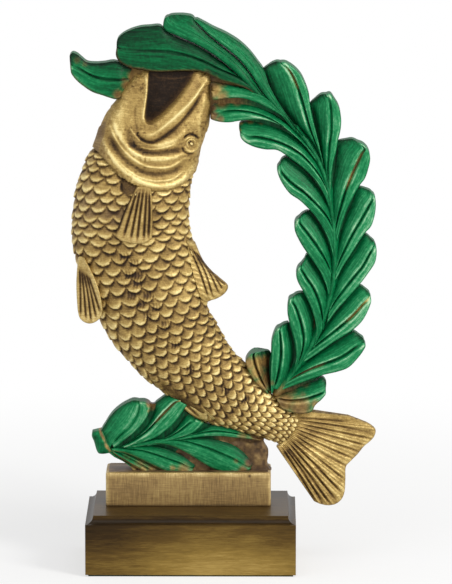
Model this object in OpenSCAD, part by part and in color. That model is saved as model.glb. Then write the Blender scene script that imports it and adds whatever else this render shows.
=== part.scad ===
// Fishing trophy: a carp standing in a wreath of leaves, on a plinth that is screwed to a wooden board.
// X runs left to right, Y away from the viewer and Z up, from the middle of the underside.

/* [Board] */
// Width of the board, left to right
board_w = 112; // [100:1:130]
// Depth of the board, front to back
board_d = 70; // [60:1:90]
// Height of the board without its felt
board_h = 31.4; // [26:0.1:40]
// Radius of the hollow moulding cut along the four top edges
cove_r = 4.2; // [2:0.1:6]
// Thickness of the felt glued under the board
felt_t = 1; // [0.5:0.1:2]
// How far the felt stays inside the edge of the board
felt_inset = 1.5; // [0.5:0.1:4]

/* [Plinth] */
// Width of the cast plinth
plinth_w = 88.6; // [80:0.1:96]
// Depth of the cast plinth
plinth_d = 26; // [24:0.1:36]
// Height of the cast plinth
plinth_h = 18.4; // [15:0.1:24]
// Radius of the upright corners of the plinth
plinth_corner_r = 1.5; // [0.5:0.1:3]
// How far the middle of the plinth lies left of the middle of the board
plinth_left = 1.5; // [0:0.1:4]
// How far the figure stands behind the middle of the board
figure_back = 5; // [0:0.1:8]

/* [Figure] */
// Height of the figure above the plinth, which every outline below follows
figure_h = 246; // [230:1:260]
// Thickness of the fish at its widest, front to back
fish_t = 30; // [26:0.5:34]
// Thickness of a leaf along its two lobes
leaf_t = 15; // [12:0.5:18]
// Thickness of a leaf at its rim
leaf_rim_t = 9; // [6:0.5:10]
// Thickness of a leaf in the valley beside its neighbour
leaf_valley_t = 6; // [4:0.5:8]
// Depth of the groove along the rib of a leaf
leaf_groove = 1.7; // [0.8:0.1:2.4]
// Thickness of the stem that the wreath's leaves grow from
stem_t = 5; // [3:0.5:6]
// How far the free edge of a scale stands above the scale below it
scale_rise = 0.9; // [0.4:0.1:1.4]
// Thickness of the wall left between the two sides of the open mouth
mouth_web_t = 6; // [4:0.5:9]
// How far gill covers and lips stand proud of the head
gill_proud = 1.3; // [0.8:0.1:2]
// How far the eyes stand proud of the head
eye_proud = 1.6; // [1:0.1:2.5]
// Radius of the ring round an eye
eye_ring_r = 3; // [2:0.1:4]
// Width of the ring round an eye
eye_ring_w = 1.6; // [1:0.1:2]
// How far the pectoral fins stand proud of the body
fin_proud = 2; // [1:0.1:3]
// Thickness of a fin ray at its outer end
ray_t = 4.4; // [3:0.1:6]
// Width of a fin ray
ray_w = 3; // [2:0.1:4]
// Thickness of the skin between two rays
membrane_t = 3; // [2:0.1:4]
// Thickness of the tail fin where it leaves the body
tail_root_t = 9; // [7:0.5:11]
// Distance of each pelvic fin from the middle of the fish
pelvic_out = 6; // [5:0.5:8]
// Thickness of the rough rock under the fish
rock_t = 12; // [10:0.5:15]

/* [Screws] */
// Distance between the two fixing screws
screw_spacing = 56; // [40:1:66]
// Diameter of the screw shank
screw_d = 4; // [3:0.1:5]
// Diameter of the screw head
screw_head_d = 8; // [7:0.1:10]
// Height of the screw head
screw_head_h = 2.8; // [2:0.1:4]
// Depth of the screw in the plinth
screw_grip = 11; // [8:0.5:13]
// Clearance round the shank in the board and in the washer
screw_clear = 0.3; // [0.1:0.05:0.6]
// Diameter of the washer
washer_d = 12; // [10.5:0.1:14]
// Thickness of the washer
washer_t = 1; // [0.6:0.1:1.6]
// Diameter of the pocket for head and washer under the board
pocket_d = 14; // [13.5:0.1:18]
// Depth of the pocket under the board
pocket_depth = 9; // [6:0.5:14]
// Width of the slot in the screw head
slot_w = 1.2; // [0.8:0.1:1.6]
// Depth of the slot in the screw head
slot_depth = 1.4; // [0.8:0.1:1.8]

/* [Hidden] */
board_top = felt_t + board_h;
plinth_top = board_top + plinth_h;
seat_z = felt_t + pocket_depth;
scale_columns = 18;
scale_lines = 15;
ring_n = 2 * scale_columns;
ring_pull = 7;
corner_n = 48;
ray_n = 8;
rib_n = 12;
overcut = 1;

// Rows of the fish from the jaws to the tail: belly x and z, back x and z as shares of
// the figure's height, and the thickness as a share of the widest
fish_shares = [
    [-0.105, 0.875, 0.030, 0.875, 0.44],
    [-0.130, 0.845, 0.040, 0.850, 0.53],
    [-0.160, 0.810, 0.043, 0.815, 0.66],
    [-0.179, 0.790, 0.042, 0.785, 0.73],
    [-0.192, 0.768, 0.039, 0.760, 0.80],
    [-0.201, 0.746, 0.031, 0.735, 0.86],
    [-0.208, 0.724, 0.022, 0.710, 0.90],
    [-0.217, 0.700, 0.016, 0.688, 0.93],
    [-0.228, 0.678, 0.008, 0.663, 0.94],
    [-0.240, 0.647, 0.001, 0.637, 0.97],
    [-0.249, 0.615, -0.003, 0.611, 1],
    [-0.254, 0.582, -0.005, 0.582, 1],
    [-0.257, 0.549, -0.006, 0.554, 1],
    [-0.258, 0.521, -0.003, 0.529, 1],
    [-0.255, 0.489, 0.004, 0.505, 1],
    [-0.248, 0.458, 0.010, 0.474, 1],
    [-0.239, 0.424, 0.016, 0.444, 1],
    [-0.228, 0.387, 0.024, 0.411, 1],
    [-0.211, 0.352, 0.033, 0.379, 0.97],
    [-0.192, 0.317, 0.045, 0.348, 0.93],
    [-0.173, 0.283, 0.058, 0.324, 0.90],
    [-0.153, 0.257, 0.073, 0.295, 0.87],
    [-0.131, 0.233, 0.087, 0.271, 0.83],
    [-0.106, 0.204, 0.104, 0.251, 0.80],
    [-0.079, 0.184, 0.122, 0.228, 0.77],
    [-0.051, 0.161, 0.142, 0.204, 0.73],
    [-0.024, 0.140, 0.163, 0.180, 0.68],
    [0.006, 0.119, 0.179, 0.161, 0.63],
    [0.043, 0.098, 0.191, 0.147, 0.57],
    [0.081, 0.085, 0.203, 0.139, 0.50],
    [0.126, 0.075, 0.217, 0.130, 0.43],
    [0.171, 0.063, 0.232, 0.124, 0.35]
];

// Open mouth, the bands on the head and the eye, as shares of the figure's height
mouth_shares = [[-0.093, 0.860], [-0.095, 0.818], [-0.101, 0.777], [-0.094, 0.757],
    [-0.083, 0.754], [-0.049, 0.779], [-0.013, 0.820], [0.009, 0.860]];
upper_lip_shares = [[0.030, 0.855], [0.008, 0.811], [-0.024, 0.778], [-0.067, 0.746],
    [-0.089, 0.731], [-0.104, 0.729], [-0.117, 0.739]];
lower_lip_shares = [[-0.103, 0.855], [-0.104, 0.818], [-0.111, 0.777], [-0.105, 0.750]];
gill_edge_shares = [[-0.192, 0.740], [-0.184, 0.704], [-0.163, 0.668], [-0.135, 0.642],
    [-0.100, 0.625], [-0.071, 0.619], [-0.042, 0.623], [-0.019, 0.637], [-0.008, 0.653]];
gill_inner_shares = [[-0.169, 0.742], [-0.152, 0.703], [-0.121, 0.676], [-0.089, 0.665],
    [-0.056, 0.665], [-0.026, 0.676]];
eye_share = [-0.001, 0.716];

// Fins: the line that each grows from and the outer ends of its rays
pectoral_root_shares = [[-0.118, 0.604], [-0.094, 0.610]];
pectoral_tip_shares = [[-0.157, 0.524], [-0.152, 0.514], [-0.137, 0.508], [-0.122, 0.503],
    [-0.107, 0.503], [-0.096, 0.513]];
pelvic_root_shares = [[-0.242, 0.448], [-0.232, 0.444]];
pelvic_tip_shares = [[-0.242, 0.341], [-0.230, 0.330], [-0.217, 0.328], [-0.204, 0.340]];
dorsal_root_shares = [[0.020, 0.400], [-0.006, 0.504]];
dorsal_tip_shares = [[0.043, 0.382], [0.058, 0.383], [0.073, 0.397], [0.058, 0.415],
    [0.043, 0.432], [0.023, 0.457]];
anal_root_shares = [[-0.033, 0.160], [0.030, 0.125]];
anal_tip_shares = [[-0.049, 0.162], [-0.041, 0.146], [-0.029, 0.133], [-0.015, 0.122],
    [-0.001, 0.112], [0.013, 0.103]];
tail_root_shares = [[0.170, 0.075], [0.212, 0.124]];
tail_tip_shares = [[0.238, -0.014], [0.256, -0.045], [0.274, -0.070], [0.291, -0.078],
    [0.307, -0.075], [0.322, -0.065], [0.328, -0.044], [0.330, -0.016], [0.334, 0.006],
    [0.353, 0.027], [0.370, 0.048], [0.388, 0.066], [0.392, 0.084], [0.362, 0.100], [0.310, 0.115]];

// Leaves, each as rows from root to tip: x and z of the edge that lies low beside the
// neighbour, of the rib and of the raised edge
outer_leaf_shares = [
    [[0.261, 0.703, 0.276, 0.702, 0.287, 0.681], [0.227, 0.759, 0.255, 0.767, 0.268, 0.753],
        [0.19, 0.807, 0.239, 0.817, 0.257, 0.801], [0.164, 0.855, 0.224, 0.858, 0.248, 0.846],
        [0.157, 0.879, 0.213, 0.88, 0.233, 0.875], [0.175, 0.894, 0.194, 0.9, 0.211, 0.893]],
    [[0.283, 0.641, 0.298, 0.645, 0.303, 0.615], [0.277, 0.703, 0.296, 0.695, 0.309, 0.685],
        [0.268, 0.759, 0.302, 0.754, 0.322, 0.746], [0.259, 0.799, 0.302, 0.789, 0.323, 0.783],
        [0.268, 0.816, 0.3, 0.813, 0.317, 0.803], [0.285, 0.829, 0.295, 0.831, 0.306, 0.822]],
    [[0.303, 0.56, 0.311, 0.536, 0.318, 0.505], [0.307, 0.641, 0.333, 0.612, 0.344, 0.591],
        [0.316, 0.692, 0.35, 0.658, 0.368, 0.63], [0.319, 0.72, 0.365, 0.691, 0.385, 0.668],
        [0.333, 0.729, 0.375, 0.711, 0.387, 0.692], [0.352, 0.73, 0.367, 0.728, 0.378, 0.714]],
    [[0.31, 0.472, 0.314, 0.448, 0.314, 0.419], [0.325, 0.527, 0.34, 0.503, 0.345, 0.474],
        [0.342, 0.576, 0.363, 0.545, 0.37, 0.514], [0.359, 0.615, 0.383, 0.58, 0.395, 0.554],
        [0.37, 0.622, 0.391, 0.597, 0.4, 0.582], [0.385, 0.616, 0.393, 0.614, 0.398, 0.6]],
    [[0.306, 0.384, 0.303, 0.358, 0.3, 0.329], [0.325, 0.439, 0.334, 0.404, 0.334, 0.373],
        [0.351, 0.481, 0.362, 0.439, 0.369, 0.415], [0.368, 0.51, 0.383, 0.472, 0.397, 0.457],
        [0.381, 0.517, 0.393, 0.492, 0.403, 0.479], [0.394, 0.505, 0.399, 0.503, 0.403, 0.49]],
    [[0.271, 0.284, 0.26, 0.267, 0.25, 0.24], [0.302, 0.333, 0.304, 0.302, 0.306, 0.278],
        [0.33, 0.369, 0.343, 0.336, 0.354, 0.311], [0.354, 0.4, 0.369, 0.362, 0.382, 0.347],
        [0.367, 0.408, 0.381, 0.382, 0.391, 0.369], [0.382, 0.395, 0.387, 0.394, 0.391, 0.382]],
    [[0.226, 0.218, 0.215, 0.2, 0.202, 0.176], [0.267, 0.253, 0.265, 0.227, 0.263, 0.198],
        [0.308, 0.284, 0.31, 0.245, 0.32, 0.216], [0.341, 0.304, 0.349, 0.267, 0.361, 0.245],
        [0.354, 0.308, 0.365, 0.283, 0.374, 0.265], [0.369, 0.296, 0.375, 0.294, 0.378, 0.278]],
    [[0.18, 0.164, 0.185, 0.16, 0.196, 0.136], [0.211, 0.176, 0.213, 0.156, 0.22, 0.124],
        [0.243, 0.189, 0.245, 0.158, 0.246, 0.122], [0.272, 0.2, 0.269, 0.165, 0.261, 0.129],
        [0.285, 0.206, 0.285, 0.176, 0.276, 0.147], [0.294, 0.196, 0.294, 0.187, 0.291, 0.167]]
];
inner_leaf_shares = [
    [[0.176, 0.169, 0.165, 0.176, 0.154, 0.176], [0.174, 0.2, 0.15, 0.203, 0.134, 0.198],
        [0.173, 0.227, 0.141, 0.227, 0.122, 0.222], [0.172, 0.249, 0.137, 0.245, 0.118, 0.238],
        [0.169, 0.262, 0.137, 0.258, 0.121, 0.251], [0.158, 0.267, 0.143, 0.27, 0.13, 0.261]],
    [[0.2, 0.173, 0.182, 0.18, 0.172, 0.171], [0.213, 0.204, 0.189, 0.212, 0.173, 0.202],
        [0.22, 0.236, 0.194, 0.243, 0.174, 0.236], [0.223, 0.271, 0.195, 0.274, 0.175, 0.273],
        [0.215, 0.313, 0.194, 0.3, 0.179, 0.302], [0.206, 0.328, 0.195, 0.328, 0.187, 0.315]],
    [[0.241, 0.227, 0.23, 0.229, 0.213, 0.2], [0.256, 0.258, 0.239, 0.258, 0.228, 0.249],
        [0.267, 0.293, 0.244, 0.291, 0.224, 0.284], [0.266, 0.342, 0.235, 0.338, 0.211, 0.331],
        [0.249, 0.386, 0.223, 0.369, 0.209, 0.362], [0.234, 0.394, 0.221, 0.395, 0.214, 0.38]],
    [[0.291, 0.315, 0.284, 0.311, 0.267, 0.273], [0.299, 0.366, 0.28, 0.362, 0.269, 0.327],
        [0.293, 0.413, 0.266, 0.402, 0.252, 0.377], [0.271, 0.452, 0.251, 0.426, 0.235, 0.408],
        [0.253, 0.474, 0.243, 0.441, 0.229, 0.43], [0.243, 0.466, 0.235, 0.463, 0.23, 0.448]],
    [[0.31, 0.435, 0.303, 0.422, 0.302, 0.38], [0.303, 0.481, 0.29, 0.465, 0.28, 0.437],
        [0.284, 0.532, 0.264, 0.507, 0.253, 0.474], [0.26, 0.567, 0.242, 0.538, 0.229, 0.516],
        [0.247, 0.57, 0.234, 0.555, 0.224, 0.54], [0.236, 0.565, 0.229, 0.564, 0.226, 0.551]],
    [[0.312, 0.54, 0.307, 0.527, 0.308, 0.472], [0.296, 0.589, 0.29, 0.564, 0.284, 0.538],
        [0.27, 0.633, 0.259, 0.599, 0.253, 0.577], [0.24, 0.668, 0.231, 0.624, 0.225, 0.602],
        [0.212, 0.687, 0.205, 0.645, 0.195, 0.637], [0.194, 0.684, 0.189, 0.681, 0.187, 0.667]],
    [[0.296, 0.628, 0.296, 0.615, 0.301, 0.576], [0.266, 0.692, 0.263, 0.671, 0.262, 0.648],
        [0.227, 0.737, 0.222, 0.707, 0.218, 0.682], [0.175, 0.765, 0.171, 0.729, 0.175, 0.705],
        [0.123, 0.769, 0.121, 0.737, 0.125, 0.715], [0.105, 0.759, 0.102, 0.752, 0.105, 0.737]],
    [[0.261, 0.707, 0.261, 0.697, 0.27, 0.681], [0.218, 0.759, 0.214, 0.752, 0.218, 0.737],
        [0.175, 0.79, 0.173, 0.778, 0.177, 0.761], [0.123, 0.807, 0.121, 0.791, 0.125, 0.768],
        [0.076, 0.81, 0.076, 0.791, 0.08, 0.763], [0.043, 0.8, 0.039, 0.793, 0.045, 0.772]],
    [[0.218, 0.768, 0.218, 0.763, 0.227, 0.746], [0.175, 0.814, 0.173, 0.806, 0.175, 0.79],
        [0.127, 0.839, 0.127, 0.83, 0.129, 0.811], [0.084, 0.848, 0.084, 0.834, 0.086, 0.816],
        [0.048, 0.853, 0.046, 0.837, 0.05, 0.815], [0.038, 0.844, 0.037, 0.837, 0.038, 0.822]]
];
crown_leaf_shares = [
    [[0.209, 0.781, 0.198, 0.791, 0.19, 0.792], [0.183, 0.818, 0.166, 0.832, 0.153, 0.833],
        [0.155, 0.883, 0.138, 0.88, 0.121, 0.879], [0.112, 0.935, 0.097, 0.923, 0.082, 0.92],
        [0.067, 0.963, 0.054, 0.958, 0.043, 0.953], [0.024, 0.987, 0.018, 0.987, 0.013, 0.981]],
    [[0.14, 0.848, 0.132, 0.85, 0.121, 0.843], [0.114, 0.888, 0.106, 0.884, 0.097, 0.868],
        [0.067, 0.931, 0.052, 0.93, 0.039, 0.916], [0.02, 0.972, 0.007, 0.96, -0.008, 0.942],
        [-0.01, 1, -0.023, 0.975, -0.041, 0.957], [-0.041, 1, -0.051, 0.992, -0.058, 0.976]],
    [[0.119, 0.846, 0.114, 0.846, 0.112, 0.838], [0.088, 0.879, 0.08, 0.875, 0.076, 0.851],
        [0.032, 0.92, 0.028, 0.899, 0.028, 0.872], [-0.032, 0.952, -0.032, 0.917, -0.032, 0.874],
        [-0.097, 0.976, -0.092, 0.922, -0.088, 0.874], [-0.148, 0.956, -0.139, 0.925, -0.131, 0.882],
        [-0.159, 0.937, -0.161, 0.925, -0.157, 0.902]],
    [[-0.11, 0.872, -0.107, 0.854, -0.11, 0.816], [-0.157, 0.896, -0.157, 0.859, -0.16, 0.811],
        [-0.202, 0.895, -0.2, 0.863, -0.201, 0.825], [-0.235, 0.905, -0.23, 0.877, -0.233, 0.844],
        [-0.254, 0.917, -0.245, 0.888, -0.25, 0.859], [-0.261, 0.905, -0.26, 0.899, -0.26, 0.881]]
];
short_leaf_shares = [
    [[-0.185, 0.048, -0.178, 0.048, -0.171, 0.046], [-0.193, 0.073, -0.165, 0.064, -0.139, 0.069],
        [-0.191, 0.095, -0.143, 0.084, -0.114, 0.093], [-0.169, 0.128, -0.123, 0.108, -0.097, 0.12],
        [-0.143, 0.15, -0.114, 0.137, -0.09, 0.14], [-0.125, 0.156, -0.11, 0.155, -0.099, 0.151]],
    [[-0.165, 0.044, -0.154, 0.044, -0.143, 0.046], [-0.125, 0.073, -0.115, 0.068, -0.101, 0.059],
        [-0.095, 0.104, -0.084, 0.095, -0.062, 0.079], [-0.082, 0.14, -0.062, 0.122, -0.031, 0.111],
        [-0.068, 0.156, -0.04, 0.144, -0.016, 0.133], [-0.047, 0.169, -0.027, 0.162, -0.012, 0.149]],
    [[-0.13, 0.053, -0.126, 0.048, -0.117, 0.044], [-0.073, 0.067, -0.069, 0.062, -0.06, 0.057],
        [-0.038, 0.088, -0.029, 0.079, -0.016, 0.072], [-0.016, 0.117, -0.003, 0.1, 0.017, 0.088],
        [-0.003, 0.125, 0.012, 0.117, 0.025, 0.104]],
    [[-0.091, 0.057, -0.088, 0.053, -0.086, 0.048], [-0.025, 0.073, -0.025, 0.067, -0.023, 0.062],
        [0.028, 0.093, 0.027, 0.082, 0.03, 0.069], [0.067, 0.099, 0.067, 0.082, 0.067, 0.071],
        [0.113, 0.084, 0.113, 0.074, 0.113, 0.066], [0.145, 0.071, 0.15, 0.069, 0.15, 0.064]],
    [[-0.134, 0.05, -0.132, 0.046, -0.132, 0.041], [-0.069, 0.065, -0.066, 0.059, -0.067, 0.053],
        [-0.003, 0.073, -0.003, 0.057, -0.003, 0.03], [0.052, 0.071, 0.047, 0.039, 0.034, 0.006],
        [0.093, 0.055, 0.08, 0.024, 0.067, 0], [0.124, 0.031, 0.111, 0.01, 0.102, 0],
        [0.135, 0.01, 0.132, 0.001, 0.126, 0]],
    [[-0.169, 0.049, -0.169, 0.044, -0.169, 0.037], [-0.126, 0.055, -0.126, 0.041, -0.126, 0.026],
        [-0.073, 0.055, -0.077, 0.03, -0.086, 0.008], [-0.034, 0.041, -0.043, 0.017, -0.054, 0],
        [-0.005, 0.024, -0.016, 0.006, -0.021, 0], [0.008, 0.009, 0.006, 0.001, -0.001, 0]],
    [[-0.17, 0.042, -0.171, 0.038, -0.172, 0.033], [-0.134, 0.028, -0.141, 0.022, -0.148, 0.018],
        [-0.097, 0.01, -0.11, 0.006, -0.121, 0.001], [-0.067, 0, -0.086, 0, -0.104, 0]],
    [[-0.173, 0.038, -0.175, 0.035, -0.177, 0.031], [-0.154, 0.021, -0.161, 0.022, -0.165, 0.022],
        [-0.13, 0.006, -0.139, 0.008, -0.145, 0.012], [-0.117, 0, -0.121, 0, -0.128, 0]]
];

// The stem of the wreath between the feet of its leaves
stem_shares = [
    [0.235, 0.772], [0.261, 0.799], [0.289, 0.737], [0.318, 0.72], [0.344, 0.663], [0.361, 0.622],
    [0.366, 0.571], [0.375, 0.521], [0.366, 0.466], [0.364, 0.411], [0.356, 0.362], [0.35, 0.311],
    [0.319, 0.258], [0.285, 0.209], [0.237, 0.182], [0.185, 0.158], [0.167, 0.178], [0.167, 0.222],
    [0.176, 0.262], [0.193, 0.293], [0.215, 0.326], [0.228, 0.36], [0.245, 0.393], [0.245, 0.439],
    [0.253, 0.477], [0.258, 0.532], [0.255, 0.576], [0.244, 0.646], [0.214, 0.689], [0.209, 0.746]
];

// The cut end of the short branch and the lumps of the rock
cut_end_shares = [[-0.217, 0.081], [-0.211, 0.039], [-0.204, 0.032], [-0.180, 0.035],
    [-0.173, 0.043], [-0.191, 0.086]];
rock_shares = [
    [[-0.122, 0], [-0.057, 0.028], [-0.016, 0.062], [0.060, 0]],
    [[-0.016, 0.062], [0.033, 0.082], [0.106, 0.072], [0.160, 0.062], [0.060, 0]],
    [[0.160, 0.062], [0.170, 0.040], [0.168, 0.020], [0.172, 0], [0.060, 0]]
];
gill_w_share = 0.0285;
lip_w_share = 0.0163;
lobe_shares = [0.8, 0.2, 0.75];
leaf_step_share = 0.009;
leaf_steps = 5;
tip_crest_share = 0.35;
root_groove_share = 0.3;
scale_first_share = 11.9;
scale_pitch_share = 1.26;
scale_edge_share = 0.1;
skin_reach_share = 0.99;
skin_width_share = 0.55;
stub_share = 0.7;

function between(ends, share) = ends[0] + (ends[1] - ends[0]) * share;

module at_figure() {
    translate([0, figure_back, plinth_top]) children();
}

module at_screws() {
    for (side = [-1, 1])
        translate([side * screw_spacing / 2 - plinth_left, figure_back, 0]) children();
}

// A flat plate in the plane of the figure, from outline shares
module plate(outline, thickness) {
    rotate([90, 0, 0])
        linear_extrude(height = thickness, center = true)
            polygon(outline * figure_h);
}

// A short round peg across the figure
module peg(place, width, thickness, sides = rib_n) {
    translate([place[0] * figure_h, 0, place[1] * figure_h])
        rotate([90, 0, 0])
            cylinder(h = thickness, d = width, center = true, $fn = sides);
}

// A closed skin through rings of equal length. A folded ring runs there on one side of the
// figure and back on the other, so that its ends are closed in strips.
module skin(rings, folded = false) {
    n = len(rings[0]);
    last = len(rings) - 1;
    sides = [for (r = [0 : last - 1]) for (i = [0 : n - 1])
        let (j = (i + 1) % n, low = r * n, high = low + n)
        for (half = [[low + i, low + j, high + j], [low + i, high + j, high + i]]) half];
    strips = [for (i = [0 : n / 2 - 2]) [i, i + 1, n - 2 - i, n - 1 - i]];
    whole = [[for (i = [0 : n - 1]) i]];
    first_end = folded ? strips : whole;
    polyhedron([for (ring = rings) each ring],
        concat([for (face = first_end) [for (k = [len(face) - 1 : -1 : 0]) face[k]]], sides,
            [for (face = first_end) [for (i = face) last * n + i]]));
}

// A section of a leaf, from its low edge over both lobes to its raised edge and back
function leaf_ring(row, size, crest, groove) =
    let (low = [row[0], row[1]] * figure_h,
        rib = [row[2], row[3]] * figure_h,
        high = [row[4], row[5]] * figure_h,
        lobe = leaf_rim_t / 2 + (leaf_t - leaf_rim_t) / 2 * crest,
        half = [[low, leaf_valley_t / 2], [between([low, rib], lobe_shares[0]), lobe],
            [rib, lobe - leaf_groove * groove], [between([rib, high], lobe_shares[1]), lobe],
            [between([rib, high], lobe_shares[2]), lobe], [high, leaf_rim_t / 2]])
    concat([for (p = half) [p[0][0], -p[1] * size, p[0][1]]],
        [for (k = [len(half) - 1 : -1 : 0]) [half[k][0][0], half[k][1] * size, half[k][0][1]]]);

// A leaf with a groove along its rib, from rows of its table
module leaf(rows, size) {
    last = len(rows) - 1;
    rings = [for (k = [0 : last])
        leaf_ring(rows[k], size, k == last ? tip_crest_share : 1,
            k == 0 || k == last ? root_groove_share : 1)];
    across = [rows[1][4] - rows[1][0], rows[1][5] - rows[1][1]];
    along = [rows[last][2] - rows[0][2], rows[last][3] - rows[0][3]];
    turned = cross(across, along) > 0;
    skin([for (ring = rings) turned ? [for (k = [len(ring) - 1 : -1 : 0]) ring[k]] : ring], true);
}

// All the leaves of a table, each a touch thinner than the last so that no two lie level
module leaves(table, offset = 0) {
    for (k = [0 : len(table) - 1])
        leaf(table[k], 1 - leaf_step_share * (k % leaf_steps + offset));
}

// Rays from a root line to their outer ends, with skin between neighbours
module ray_fan(root, tips, root_t, tip_t, skin_t) {
    last = len(tips) - 1;
    skin_w = ray_w * skin_width_share;
    for (i = [0 : last])
        hull() {
            peg(between(root, i / last), ray_w, root_t, ray_n);
            peg(tips[i], ray_w, tip_t, ray_n);
        }
    for (i = [0 : last - 1])
        hull() {
            for (k = [i, i + 1]) {
                peg(between(root, k / last), skin_w, skin_t, ray_n);
                peg(between([between(root, k / last), tips[k]], skin_reach_share), skin_w, skin_t, ray_n);
            }
        }
}

// A band of even width that runs through the points, right through the figure
module band(points, width) {
    for (i = [0 : len(points) - 2])
        hull() {
            peg(points[i], width, fish_t * 2);
            peg(points[i + 1], width, fish_t * 2);
        }
}

function ring_point(row, turn, proud) =
    let (belly = [row[0], row[1]] * figure_h,
        back = [row[2], row[3]] * figure_h,
        middle = (belly + back) / 2,
        half = (back - belly) / 2,
        reach = half * (1 + proud / norm(half)) * cos(turn),
        depth = (fish_t / 2 * row[4] + proud) * sin(turn))
    [middle[0] + reach[0], depth, middle[1] + reach[1]];

function fish_ring(row, proud) = [for (i = [0 : ring_n - 1]) ring_point(row, even_turn(i), proud)];

// An angle for each point of a section that spaces the points about evenly along it
function even_turn(i) =
    let (turn = i * 360 / ring_n)
    turn + ring_pull * sin(2 * turn);

// A section of the fish between two rows of its table
function section(place) =
    let (k = min(floor(place), len(fish_shares) - 2))
    between([fish_shares[k], fish_shares[k + 1]], place - k);

// Scales lie in zigzag rows, with every other one half a scale further back
function scale_place(line, i) = scale_first_share + scale_pitch_share * (line - i % 2 / 2);

// The whole body of the fish without its scales, grown on all sides by the named amount
module fish_skin(proud) {
    skin([for (row = fish_shares) fish_ring(row, proud)]);
}

// The whole body of the fish with its scales
module scaled_fish() {
    head_last = floor(scale_place(0, 1));
    head = [for (k = [0 : head_last]) fish_ring(fish_shares[k], 0)];
    scales = [for (line = [0 : scale_lines - 1], edge = [0, 1])
        [for (i = [0 : ring_n - 1])
            ring_point(section(scale_place(line, i) + edge * scale_edge_share), even_turn(i),
                scale_rise * (1 - 2 * edge) / 2)]];
    skin(concat(head, scales, [fish_ring(fish_shares[len(fish_shares) - 1], 0)]));
}

module raised_on_fish(proud) {
    difference() {
        intersection() {
            fish_skin(proud);
            children();
        }
        scaled_fish();
    }
}

module mouth_pockets() {
    for (side = [-1, 1])
        translate([0, side * (fish_t + mouth_web_t) / 2, 0])
            plate(mouth_shares, fish_t);
}

// The lips with the part of the head that they lie on
module lip_set() {
    intersection() {
        fish_skin(gill_proud);
        union() {
            band(upper_lip_shares, lip_w_share * figure_h);
            band(lower_lip_shares, lip_w_share * figure_h);
        }
    }
}

module outer_set() {
    leaves(outer_leaf_shares);
    plate(stem_shares, stem_t);
}

module inner_set() {
    leaves(inner_leaf_shares, 1 / 3);
}

module short_set() {
    leaves(short_leaf_shares);
}

module anal_set() {
    ray_fan(anal_root_shares, anal_tip_shares, ray_t, ray_t, membrane_t);
}

module tail_set() {
    ray_fan(tail_root_shares, tail_tip_shares, tail_root_t, ray_t, membrane_t);
}

module base_felt() {
    color("darkgreen")
        translate([felt_inset - board_w / 2, felt_inset - board_d / 2, 0])
            cube([board_w - 2 * felt_inset, board_d - 2 * felt_inset, felt_t]);
}

module base_board() {
    color("saddlebrown")
        difference() {
            translate([-board_w / 2, -board_d / 2, felt_t])
                cube([board_w, board_d, board_h]);
            for (side = [-1, 1]) {
                translate([0, side * board_d / 2, board_top])
                    rotate([0, 90, 0])
                        cylinder(h = board_w + 2 * overcut, r = cove_r, center = true, $fn = corner_n);
                translate([side * board_w / 2, 0, board_top])
                    rotate([90, 0, 0])
                        cylinder(h = board_d + 2 * overcut, r = cove_r, center = true, $fn = corner_n);
            }
            at_screws() {
                translate([0, 0, felt_t - overcut])
                    cylinder(h = pocket_depth + overcut, d = pocket_d, $fn = corner_n);
                translate([0, 0, seat_z - overcut])
                    cylinder(h = board_h + overcut, d = screw_d + 2 * screw_clear, $fn = corner_n);
            }
        }
}

module screw_washers() {
    color("silver")
        at_screws()
            translate([0, 0, seat_z - washer_t])
                difference() {
                    cylinder(h = washer_t, d = washer_d, $fn = corner_n);
                    translate([0, 0, -overcut])
                        cylinder(h = washer_t + 2 * overcut, d = screw_d + 2 * screw_clear, $fn = corner_n);
                }
}

module fixing_screws() {
    head_z = seat_z - washer_t - screw_head_h;
    color("silver")
        at_screws()
            translate([0, 0, head_z])
                difference() {
                    union() {
                        cylinder(h = screw_head_h, d = screw_head_d, $fn = corner_n);
                        cylinder(h = board_top + screw_grip - head_z, d = screw_d, $fn = corner_n);
                    }
                    translate([-screw_head_d / 2 - overcut, -slot_w / 2, -overcut])
                        cube([screw_head_d + 2 * overcut, slot_w, slot_depth + overcut]);
                }
}

module plinth() {
    color("goldenrod")
        difference() {
            translate([-plinth_left, figure_back, board_top])
                linear_extrude(height = plinth_h) {
                    square([plinth_w - 2 * plinth_corner_r, plinth_d], center = true);
                    square([plinth_w, plinth_d - 2 * plinth_corner_r], center = true);
                    for (x = [-plinth_w, plinth_w] / 2, y = [-plinth_d, plinth_d] / 2)
                        translate([x - sign(x) * plinth_corner_r, y - sign(y) * plinth_corner_r])
                            circle(r = plinth_corner_r, $fn = corner_n);
                }
            at_screws()
                translate([0, 0, board_top - overcut])
                    cylinder(h = screw_grip + overcut, d = screw_d, $fn = corner_n);
        }
}

module rock() {
    color("sienna")
        at_figure()
            difference() {
                for (lump = rock_shares)
                    hull()
                        plate(lump, rock_t);
                scaled_fish();
                short_set();
                anal_set();
            }
}

module fish_body() {
    color("goldenrod")
        at_figure()
            difference() {
                scaled_fish();
                mouth_pockets();
            }
}

module gill_covers() {
    color("gold")
        at_figure()
            raised_on_fish(gill_proud) {
                band(gill_edge_shares, gill_w_share * figure_h);
                band(gill_inner_shares, gill_w_share * figure_h);
            }
}

module mouth_lips() {
    color("gold")
        at_figure()
            difference() {
                lip_set();
                scaled_fish();
                mouth_pockets();
            }
}

module fish_eyes() {
    ring_steps = 10;
    spot = eye_share;
    rim = [for (i = [0 : ring_steps])
        spot + eye_ring_r / figure_h * [cos(i * 360 / ring_steps), sin(i * 360 / ring_steps)]];
    color("gold")
        at_figure()
            raised_on_fish(eye_proud) {
                band(rim, eye_ring_w);
                peg(spot, eye_ring_r, fish_t * 2);
            }
}

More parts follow.
